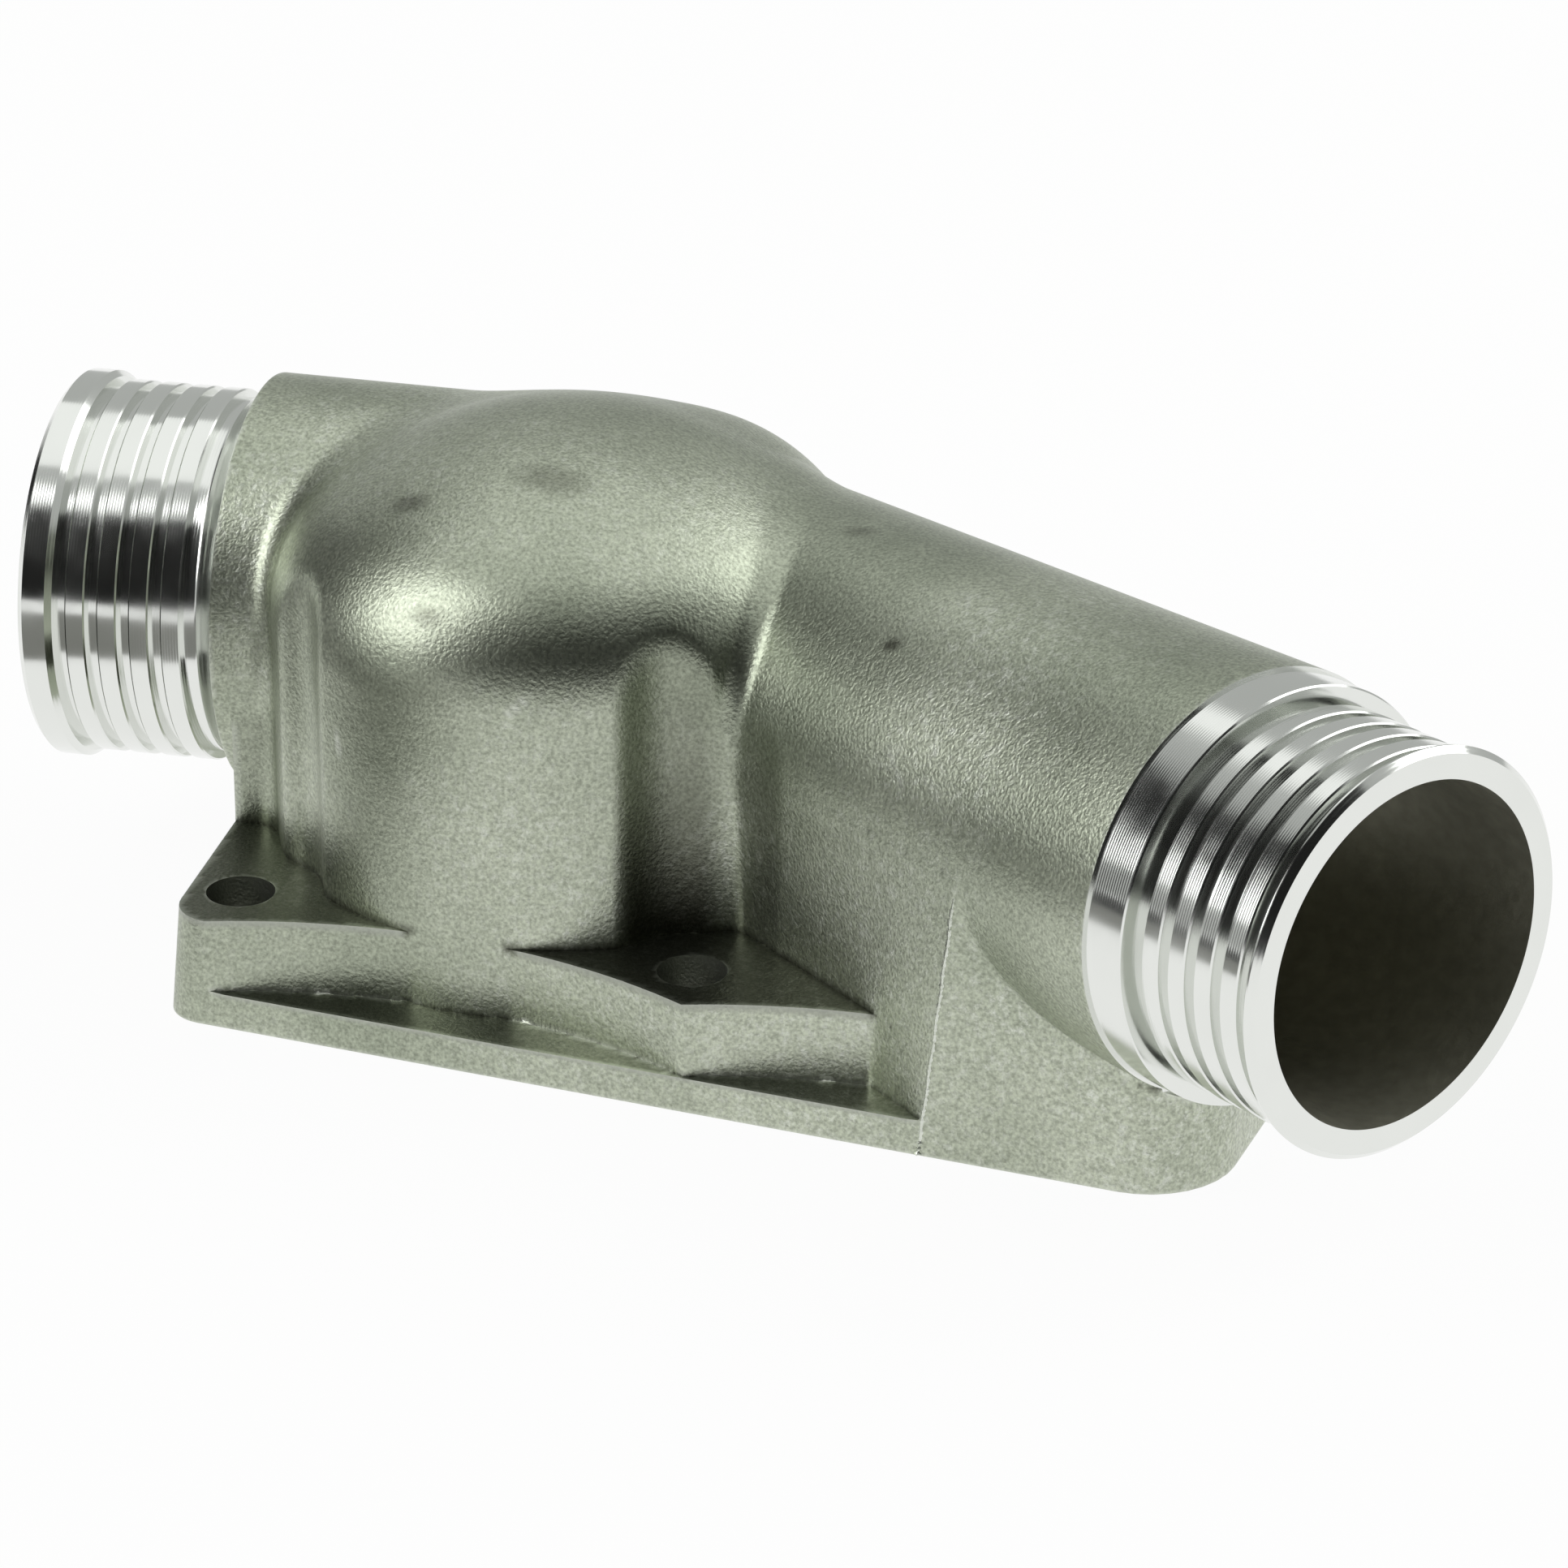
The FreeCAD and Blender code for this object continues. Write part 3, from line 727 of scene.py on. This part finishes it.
def blasted_skin(finish):
    """Blasted cast aluminium: satin grey-green metal with a fine sandy grain and bright rubbed grains."""
    material, tree = new_material("blasted_cast_aluminium")
    place = add(tree, "TexCoord").outputs["Object"]
    # blasted grain, about 0.35 mm across, which is as fine as shows in the render
    grain = add(tree, "TexNoise", {"Vector": place, "Scale": 1 / (0.36 * MM), "Detail": 2.0})
    # cloudy patches of the casting skin, about 14 mm across
    cloud = add(tree, "TexNoise", {"Vector": place, "Scale": 1 / (28 * MM), "Detail": 5.0})
    # rubbed grains, about 0.5 mm across, in drifts about 15 mm across
    rubbed = add(tree, "TexNoise", {
        "Vector": place, "Scale": 1 / (1.0 * MM), "Detail": 4.0, "Roughness": 0.8,
    })
    drift = add(tree, "TexNoise", {"Vector": place, "Scale": 1 / (30 * MM), "Detail": 4.0})
    base = add(tree, "Mix", {
        MIX_SHARE: add(tree, "MapRange", {
            "Value": cloud.outputs["Fac"], "From Min": 0.35, "From Max": 0.65,
        }).outputs["Result"],
        MIX_FIRST: rgba(finish.skin_dark), MIX_SECOND: rgba(finish.skin),
    }, data_type="RGBA")
    speckle = add(tree, "MapRange", {
        "Value": grain.outputs["Fac"], "From Min": 0.3, "From Max": 0.7, "To Min": 0.72, "To Max": 1.26,
    })
    grained = add(tree, "VectorMath", {
        0: base.outputs[MIX_COLOUR], 1: speckle.outputs["Result"],
    }, operation="MULTIPLY")
    # stains and painted shade, where the marking step wrote them
    stains_and_shade = add(tree, "Attribute", attribute_name="stains_and_shade")
    stained_and_shaded = add(tree, "Mix", {
        MIX_SHARE: stains_and_shade.outputs["Fac"], MIX_FIRST: grained.outputs["Vector"],
        MIX_SECOND: rgba(finish.stain_and_shade),
    }, data_type="RGBA")
    spark = add(tree, "MapRange", {
        "Value": rubbed.outputs["Fac"], "From Min": 0.50, "From Max": 0.72,
    })
    where = add(tree, "MapRange", {
        "Value": drift.outputs["Fac"], "From Min": 0.42, "From Max": 0.62, "To Max": 0.85,
    })
    # no bright grains where stains and painted shade darken the skin
    outside_stains_and_shade = add(tree, "Math", {0: 1.0, 1: stains_and_shade.outputs["Fac"]}, operation="SUBTRACT")
    drifts = add(tree, "Math", {
        0: spark.outputs["Result"], 1: where.outputs["Result"],
    }, operation="MULTIPLY")
    amount = add(tree, "Math", {
        0: drifts.outputs["Value"], 1: outside_stains_and_shade.outputs["Value"],
    }, operation="MULTIPLY")
    # edges and handled spots painted lighter, where the edge-marking step wrote them: worn bright metal,
    # and on the edges also a painted highlight
    edge = add(tree, "Attribute", attribute_name="worn_and_highlit_edge")
    share = add(tree, "Math", {
        0: amount.outputs["Value"], 1: edge.outputs["Fac"],
    }, operation="MAXIMUM")
    tint = add(tree, "Mix", {
        MIX_SHARE: share.outputs["Value"], MIX_FIRST: stained_and_shaded.outputs[MIX_COLOUR],
        MIX_SECOND: rgba(finish.sparkle_and_edge_highlight),
    }, data_type="RGBA")
    # the rubbed grains stand out a little, so some of them glint
    raised = add(tree, "Bump", {
        "Height": rubbed.outputs["Fac"], "Strength": amount.outputs["Value"], "Distance": 0.18 * MM,
    })
    bump = add(tree, "Bump", {
        "Height": grain.outputs["Fac"], "Strength": 0.6, "Distance": 0.09 * MM,
        "Normal": raised.outputs["Normal"],
    })
    rough = add(tree, "MapRange", {
        "Value": cloud.outputs["Fac"], "From Min": 0.3, "From Max": 0.7, "To Min": 0.34, "To Max": 0.40,
    })
    shader = add(tree, "BsdfPrincipled", {
        "Base Color": tint.outputs[MIX_COLOUR], "Metallic": 1.0, "Roughness": rough.outputs["Result"],
        "Normal": bump.outputs["Normal"],
    })
    add(tree, "OutputMaterial", {"Surface": shader.outputs["BSDF"]})
    return material


def turned_metal(finish):
    """Turned aluminium: a bright, nearly mirror-like face with fine rings left by the tool."""
    material, tree = new_material("turned_aluminium")
    place = add(tree, "TexCoord").outputs["Object"]
    along = add(tree, "Attribute", attribute_name="along_neck")
    axis = add(tree, "CombineXYZ", {"X": along.outputs["Fac"]})
    # tool marks, drawn 0.3 mm apart so that they show; at scale 1 the wave repeats every 2 pi / 20
    spacing = 0.3 * MM
    marks = add(tree, "TexWave", {
        "Vector": axis.outputs["Vector"], "Scale": 2 * math.pi / (20 * spacing), "Distortion": 0.6,
        "Detail": 2.0, "Detail Scale": 1.2,
    }, bands_direction="X")
    cloud = add(tree, "TexNoise", {"Vector": place, "Scale": 1 / (6 * MM), "Detail": 4.0})
    bump = add(tree, "Bump", {
        "Height": marks.outputs["Fac"], "Strength": 0.12, "Distance": 0.02 * MM,
    })
    rough = add(tree, "MapRange", {
        "Value": cloud.outputs["Fac"], "From Min": 0.3, "From Max": 0.7, "To Min": 0.10, "To Max": 0.20,
    })
    shader = add(tree, "BsdfPrincipled", {
        "Base Color": rgba(finish.turned), "Metallic": 1.0, "Roughness": rough.outputs["Result"],
        "Normal": bump.outputs["Normal"],
    })
    add(tree, "OutputMaterial", {"Surface": shader.outputs["BSDF"]})
    return material


def cast_bore(finish):
    """As-cast aluminium inside the bores: dull brownish grey, rougher than the blasted outside."""
    material, tree = new_material("as_cast_bore")
    place = add(tree, "TexCoord").outputs["Object"]
    # coarse grain of the core, about 0.8 mm across, a quarter darker and lighter than its colour
    grain = add(tree, "TexNoise", {"Vector": place, "Scale": 1 / (1.6 * MM), "Detail": 5.0})
    tint = add(tree, "Mix", {
        MIX_SHARE: grain.outputs["Fac"], MIX_FIRST: rgba([part * 0.75 for part in finish.bore]),
        MIX_SECOND: rgba([min(1.0, part * 1.25) for part in finish.bore]),
    }, data_type="RGBA")
    bump = add(tree, "Bump", {
        "Height": grain.outputs["Fac"], "Strength": 0.6, "Distance": 0.2 * MM,
    })
    shader = add(tree, "BsdfPrincipled", {
        "Base Color": tint.outputs[MIX_COLOUR], "Metallic": 1.0, "Roughness": 0.62,
        "Normal": bump.outputs["Normal"],
    })
    add(tree, "OutputMaterial", {"Surface": shader.outputs["BSDF"]})
    return material


def finishes(scene):
    """The three finishes, made once and shared by the pieces."""
    makers = {
        "blasted_cast_aluminium": blasted_skin,
        "turned_aluminium": turned_metal,
        "as_cast_bore": cast_bore,
    }
    return [
        bpy.data.materials.get(name) or make(scene.housing_finish)
        for name, make in makers.items()
    ]


def read_vectors(items, name):
    """The vectors that faces, points or normals of a mesh hold under a name."""
    values = np.empty(len(items) * 3, np.float32)
    items.foreach_get(name, values)
    return values.reshape(-1, 3).astype(float)


def write_values(mesh, name, values):
    """Keeps a value per point under a name that the finishes read."""
    values = np.asarray(values, np.float32)
    mesh.attributes.new(name, "FLOAT", "POINT").data.foreach_set("value", values)


def mark_worn_and_highlit_edges(mesh, form):
    """Writes where edges and handled spots are painted lighter for the skin: worn bright metal, and on
    the edges also a painted highlight.
    """
    points = read_vectors(mesh.vertices, "co")
    normals = read_vectors(mesh.vertex_normals, "vector")
    # the probe reaches its full depth below a flat face, less below an edge, and least where the
    # casting was cut
    probe = 0.4 * MM
    flat, fade, cut = 0.88, 0.12, 0.3
    inside = -form(points - probe * normals) / probe
    edge_share, rub_share, rub_radius, rub_rim = 0.45, 0.6, 0.45 * MM, 1.2
    # convex edges painted lighter: partly worn metal, partly a painted highlight standing in for the
    # highlight of a rounded edge
    bright = edge_share * np.clip((flat - inside) / fade, 0, 1) * (inside > cut)
    for start, end in RUBS:
        start, line = np.array(start) * MM, (np.array(end) - np.array(start)) * MM
        share = np.clip((points - start) @ line / (line @ line), 0, 1)
        away = np.linalg.norm(points - start - share[:, None] * line, axis=1)
        bright = np.maximum(bright, rub_share * np.clip(rub_rim - away / rub_radius, 0, 1))
    write_values(mesh, "worn_and_highlit_edge", bright)


def mark_stains_and_shade(mesh, form):
    """Writes where the skin is darkened: painted shade on the bolting faces, low in the right recess and
    in the bolt holes, darker on the ledge, and real stains in a few dried drops."""
    c = form.c
    x, y, z = read_vectors(mesh.vertices, "co").T
    upward = read_vectors(mesh.vertex_normals, "vector")[:, 2] > 0.5
    # how dark each place is, and how far the painted shade climbs in the recess
    face_left, face_right, ledge, hole, recess = 0.7, 0.8, 0.6, 0.8, 0.95
    shade_climb = 36 * MM
    band = 0.25 * MM
    # drops are longer across than back, and fade out beyond their radius
    stretch, rim = 1.7, 1.6
    on_face = np.abs(z - c.boss_height) < band
    on_ledge = upward & (np.abs(z - c.ledge_height) < 2 * NEAR)
    in_hole = form.bolt_distance(x, y) < c.bolt_hole_radius + NEAR
    in_recess = np.clip(1 - np.maximum(form.rooms(x, y), 0) / MM, 0, 1)
    low = np.clip(1 - (z - c.boss_height) / shade_climb, 0, 1) * (z > c.boss_height + band)
    # painted shade: the bolting faces, which floor the recesses, the lower right recess and the bolt
    # holes are darkened; the ledge is darker too
    stains_and_shade = np.where(x > 0, face_right, face_left) * on_face
    stains_and_shade = np.maximum(stains_and_shade, recess * in_recess * low * (x > 0))
    stains_and_shade = np.maximum(stains_and_shade, np.maximum(ledge * on_ledge, hole * in_hole))
    for across, back, up, radius, share in STAINS:
        flat = np.hypot((x - across * MM) / stretch, y - back * MM)
        away = np.hypot(flat, z - up * MM) / (radius * MM)
        stains_and_shade = np.maximum(stains_and_shade, share * np.clip(rim - away, 0, 1))
    write_values(mesh, "stains_and_shade", stains_and_shade)


def face_finishes(mesh, form):
    """The finish of each face of the casting."""
    c = form.c
    centres = read_vectors(mesh.polygons, "center")
    normals = read_vectors(mesh.polygons, "normal")
    x, y, z = centres.T
    cast_depth = 4 * NEAR
    kinds = np.where(form(centres) < -cast_depth, BORE, SKIN)
    for direction, shoulder in ((form.right, form.right_shoulder), (form.left, form.left_shoulder)):
        along, _ = form.on_passage(x, y, direction)
        square = normals[:, :2] @ direction > 0.95
        kinds[(np.abs(along - shoulder) < 2 * NEAR) & square] = TURNED
    in_seat = (np.abs(np.hypot(x, y) - c.seat_radius) < MM) & (z < c.seat_depth + 2 * NEAR)
    kinds[(z < NEAR) | (in_seat & (kinds == BORE))] = TURNED
    in_hole = form.bolt_distance(x, y) < c.bolt_hole_radius + NEAR
    kinds[in_hole & (kinds == BORE)] = SKIN
    return kinds


def smooth(item, degrees):
    """Smooth shading, sharp where faces meet at more than the angle."""
    item.data.polygons.foreach_set("use_smooth", [True] * len(item.data.polygons))
    item.data.set_sharp_from_angle(angle=math.radians(degrees))


def neck_profile(form, side):
    """Outer profile of a neck from its shoulder to its lip, with small breaks on the ring edges."""
    c, n = form.c, form.n
    reach = c.right_reach if side == "right" else c.left_reach
    lip = n.right_lip_width if side == "right" else n.left_lip_width
    collar = n.right_collar_width if side == "right" else n.left_collar_width
    shoulder = reach - n.neck_length
    small = n.edge_break
    if side == "right":
        profile = [
            (shoulder, n.collar_radius),
            (shoulder + collar - small, n.collar_radius),
            (shoulder + collar, n.collar_radius - small),
            (shoulder + collar, n.groove_radius),
        ]
    else:
        # the left collar falls to the first groove in a hollow curve
        steps, hollow = 8, 1.5
        profile = []
        for step in range(steps + 1):
            run = math.sin(math.pi / 2 * step / steps)
            rise = (n.collar_radius - n.groove_radius) * (1 - run) ** hollow
            profile.append((shoulder + collar * run, n.groove_radius + rise))
    ring = (n.neck_length - lip - collar - n.groove_width) / RING_COUNT
    for index in range(RING_COUNT):
        start = shoulder + collar + n.groove_width + index * ring
        end = start + ring - n.groove_width
        profile += [
            (start, n.groove_radius),
            (start, n.ring_radius - small),
            (start + small, n.ring_radius),
            (end - small, n.ring_radius),
            (end, n.ring_radius - small),
            (end, n.groove_radius),
        ]
    profile += [
        (reach - lip, n.groove_radius),
        (reach - lip, n.lip_radius - n.lip_chamfer),
        (reach - lip + n.lip_chamfer, n.lip_radius),
        (reach - n.lip_chamfer, n.lip_radius),
        (reach, n.lip_radius - n.lip_chamfer),
    ]
    return shoulder, reach, profile


def bore_radius_at(form, side, along):
    """Radius of a passage's bore at a place along it."""
    c = form.c
    if side == "right":
        share = (along - c.bore_end) / (c.right_reach - c.bore_end)
        return c.bore_end_radius + (c.bore_radius - c.bore_end_radius) * share
    return c.bore_radius - c.bore_taper * (1 - along / c.left_reach)


class HOUSING_OT_casting(bpy.types.Operator):
    """Builds the cast body with its fillets, bores, seat, port and bolt holes"""
    bl_idname = "housing.casting"
    bl_label = "Casting"

    def execute(self, context):
        scene = context.scene
        form = CastForm(scene.housing_casting, scene.housing_necks)
        low, high = cad_box
        points, faces = surface_mesh(form, [*low[:2], -OVERLAP], high, scene.housing_casting.mesh_step)
        item = mesh_object("housing_casting", points, faces)
        turn_outwards(item.data)
        carve(item, casting_tools(form))
        item.data.materials.clear()
        for material in finishes(scene):
            item.data.materials.append(material)
        kinds = face_finishes(item.data, form)
        item.data.polygons.foreach_set("material_index", kinds.astype(np.int32))
        mark_worn_and_highlit_edges(item.data, form)
        mark_stains_and_shade(item.data, form)
        smooth(item, degrees=48)
        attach(item, BODY)
        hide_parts(NODE)
        return {"FINISHED"}


class HOUSING_OT_flash(bpy.types.Operator):
    """Leaves the thin flash that the mould's seam raised on the foot's ridge"""
    bl_idname = "housing.flash"
    bl_label = "Flash line"

    def execute(self, context):
        scene = context.scene
        c = scene.housing_casting
        form = CastForm(c, scene.housing_necks)
        low = Vector((c.foot_wall_start, -form.front, 0.0))
        high = Vector((form.flush[1][0], -form.front, c.axis_height))
        # the flash wavers in thickness and place, has nubs low down and runs out at its top
        count = 150
        nub_height = 0.35
        waver = 0.05 * MM
        set_back = 0.06 * MM
        rings = []
        for index in range(count + 1):
            share = index / count
            rough = math.sin(index * 1.7) * math.sin(index * 0.61 + 1.0)
            nub = max(0.0, math.sin(index * 2.1)) * max(0.0, 1 - share / nub_height)
            thick = c.flash_width * (1.0 + 0.45 * rough + 0.8 * nub) * min(1.0, 8 * (1 - share))
            centre = low.lerp(high, share) + Vector((waver * math.sin(index * 0.23), set_back, 0.0))
            corners = circle(centre.x, centre.y, thick, 4)
            rings.append([(x, y, centre.z) for x, y in corners])
        item = solid("flash_line", rings)
        # the whole flash takes the lighter edge colour, partly a painted highlight along the ridge as on
        # the edges
        write_values(item.data, "worn_and_highlit_edge", np.ones(len(item.data.vertices)))
        item.data.materials.append(finishes(scene)[SKIN])
        smooth(item, degrees=60)
        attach(item, BODY)
        return {"FINISHED"}


class HOUSING_OT_necks(bpy.types.Operator):
    """Turns the two hose necks with their rings, grooves and lips"""
    bl_idname = "housing.necks"
    bl_label = "Hose necks"

    def execute(self, context):
        scene = context.scene
        form = CastForm(scene.housing_casting, scene.housing_necks)
        metal, bore = finishes(scene)[TURNED:]
        for side in ("left", "right"):
            shoulder, reach, outer = neck_profile(form, side)
            inner = [(along, bore_radius_at(form, side, along)) for along in (reach, shoulder)]
            item = lathe(f"{side}_hose_neck", outer + inner, NECK_SIDES)
            item.data.materials.append(metal)
            item.data.materials.append(bore)
            centres = read_vectors(item.data.polygons, "center")
            in_bore = np.hypot(centres[:, 1], centres[:, 2]) < form.c.bore_radius + NEAR
            item.data.polygons.foreach_set("material_index", in_bore.astype(np.int32))
            write_values(item.data, "along_neck", read_vectors(item.data.vertices, "co")[:, 0])
            smooth(item, degrees=25)
            item.data.transform(passage_matrix(form, side))
            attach(item, BODY)
        return {"FINISHED"}


def stage_sheet(name, corners, material):
    """A flat sheet of the stage."""
    item = mesh_object(name, corners, [tuple(range(len(corners)))])
    item.data.materials.append(material)
    return item


def plain_material(name, values):
    """A plain matt material for the stage."""
    material, tree = new_material(name)
    shader = add(tree, "BsdfPrincipled", {"Base Color": rgba(values), "Roughness": 0.9})
    add(tree, "OutputMaterial", {"Surface": shader.outputs["BSDF"]})
    return material


def white_to_camera(name, values):
    """Matt floor paper that the camera and reflections see as white, while it keeps the shadow."""
    material, tree = new_material(name)
    path = add(tree, "LightPath")
    paper = add(tree, "BsdfDiffuse", {"Color": rgba(values)})
    glow = add(tree, "Emission", {"Color": (1, 1, 1, 1), "Strength": 1.0})
    seen = add(tree, "Math", {
        0: path.outputs["Is Camera Ray"], 1: path.outputs["Is Glossy Ray"],
    }, operation="MAXIMUM")
    share = add(tree, "Math", {0: seen.outputs["Value"], 1: 0.95}, operation="MULTIPLY")
    mixed = add(tree, "MixShader", {
        0: share.outputs["Value"], 1: paper.outputs["BSDF"], 2: glow.outputs["Emission"],
    })
    add(tree, "OutputMaterial", {"Surface": mixed.outputs["Shader"]})
    return material


def lamp(name, place, width, height, watts):
    """A soft rectangular lamp that points at the object."""
    data = bpy.data.lights.new(name, "AREA")
    data.shape = "RECTANGLE"
    data.size = width
    data.size_y = height
    data.energy = watts
    item = bpy.data.objects.new(name, data)
    bpy.context.scene.collection.objects.link(item)
    item.location = place
    item.rotation_euler = (Vector(LAMP_TARGET) - Vector(place)).to_track_quat("-Z", "Y").to_euler()


def curtain(name, start, end, low, high, material):
    """A curved card round the object, between two angles from straight ahead and two heights."""
    steps = 40
    points = []
    for step in range(steps + 1):
        turn = math.radians(start + (end - start) * step / steps)
        across, ahead = CURTAIN_RADIUS * math.sin(turn), -CURTAIN_RADIUS * math.cos(turn)
        points += [(across, ahead, low), (across, ahead, high)]
    faces = [(2 * i, 2 * i + 2, 2 * i + 3, 2 * i + 1) for i in range(steps)]
    item = mesh_object(name, points, faces)
    item.data.materials.append(material)
    return item


class HOUSING_OT_stage(bpy.types.Operator):
    """Lays the pale floor, hangs the lamps and cards and sets the camera"""
    bl_idname = "housing.stage"
    bl_label = "Stage"

    def execute(self, context):
        scene = context.scene
        finish = scene.housing_finish
        scene.view_settings.view_transform = "Standard"
        world = bpy.data.worlds.new("studio")
        scene.world = world
        world.use_nodes = True
        tree = world.node_tree
        tree.nodes.clear()
        path = add(tree, "LightPath")
        room = add(tree, "Background", {"Color": (0.9, 0.92, 0.9, 1), "Strength": 0.52})
        white = add(tree, "Background", {"Color": (1, 1, 1, 1), "Strength": 1.0})
        mixed = add(tree, "MixShader", {
            0: path.outputs["Is Camera Ray"], 1: room.outputs["Background"],
            2: white.outputs["Background"],
        })
        add(tree, "OutputWorld", {"Surface": mixed.outputs["Shader"]})
        floor = [(x, y, -FLOOR_DROP) for x, y in square_outline(FLOOR_REACH)]
        stage_sheet("floor", floor, white_to_camera("floor_paper", finish.floor))
        dark = plain_material("dark_card", finish.card)
        cards = [curtain(name, *place, dark) for name, place in CURTAINS.items()]
        cards.append(stage_sheet("near_card", NEAR_CARD, plain_material("grey_card", finish.grey)))
        cards.append(stage_sheet("far_card", FAR_CARD, dark))
        for card in cards:
            card.visible_camera = False
        for name, (place, width, height, watts) in LAMPS.items():
            lamp(name, place, width, height, watts)
        self.set_camera(scene)
        return {"FINISHED"}

    def set_camera(self, scene):
        """Puts the camera where the photograph was taken from."""
        data = bpy.data.cameras.new("camera")
        camera = bpy.data.objects.new("camera", data)
        scene.collection.objects.link(camera)
        scene.camera = camera
        right = Vector(CAMERA_RIGHT).normalized()
        ahead = Vector(CAMERA_AHEAD).normalized()
        turn = Matrix((right, right.cross(ahead).normalized(), -ahead)).transposed().to_4x4()
        camera.matrix_world = Matrix.Translation(CAMERA_PLACE) @ turn
        data.sensor_width = 36.0
        data.lens = CAMERA_LENS
        data.clip_start = 0.05
        data.clip_end = 20.0


class HOUSING_PT_panel(bpy.types.Panel):
    """Sizes, finishes and the steps that build the housing"""
    bl_idname = "HOUSING_PT_panel"
    bl_label = "Thermostat housing"
    bl_space_type = "VIEW_3D"
    bl_region_type = "UI"
    bl_category = "Housing"

    def draw(self, context):
        for step in STEPS:
            self.layout.operator(step.bl_idname)
        for name in GROUPS:
            group = getattr(context.scene, name)
            box = self.layout.box()
            for size in group.__annotations__:
                box.prop(group, size)


GROUPS = {
    "housing_casting": HousingCasting,
    "housing_necks": HousingNecks,
    "housing_finish": HousingFinish,
}
STEPS = (HOUSING_OT_casting, HOUSING_OT_flash, HOUSING_OT_necks, HOUSING_OT_stage)


def register():
    for name, group in GROUPS.items():
        bpy.utils.register_class(group)
        setattr(bpy.types.Scene, name, bpy.props.PointerProperty(type=group))
    for item in (*STEPS, HOUSING_PT_panel):
        bpy.utils.register_class(item)


def unregister():
    for item in (HOUSING_PT_panel, *reversed(STEPS)):
        bpy.utils.unregister_class(item)
    for name, group in reversed(GROUPS.items()):
        delattr(bpy.types.Scene, name)
        bpy.utils.unregister_class(group)


def main():
    register()
    bpy.ops.housing.casting()
    bpy.ops.housing.flash()
    bpy.ops.housing.necks()
    bpy.ops.housing.stage()


if __name__ == "__main__":
    main()
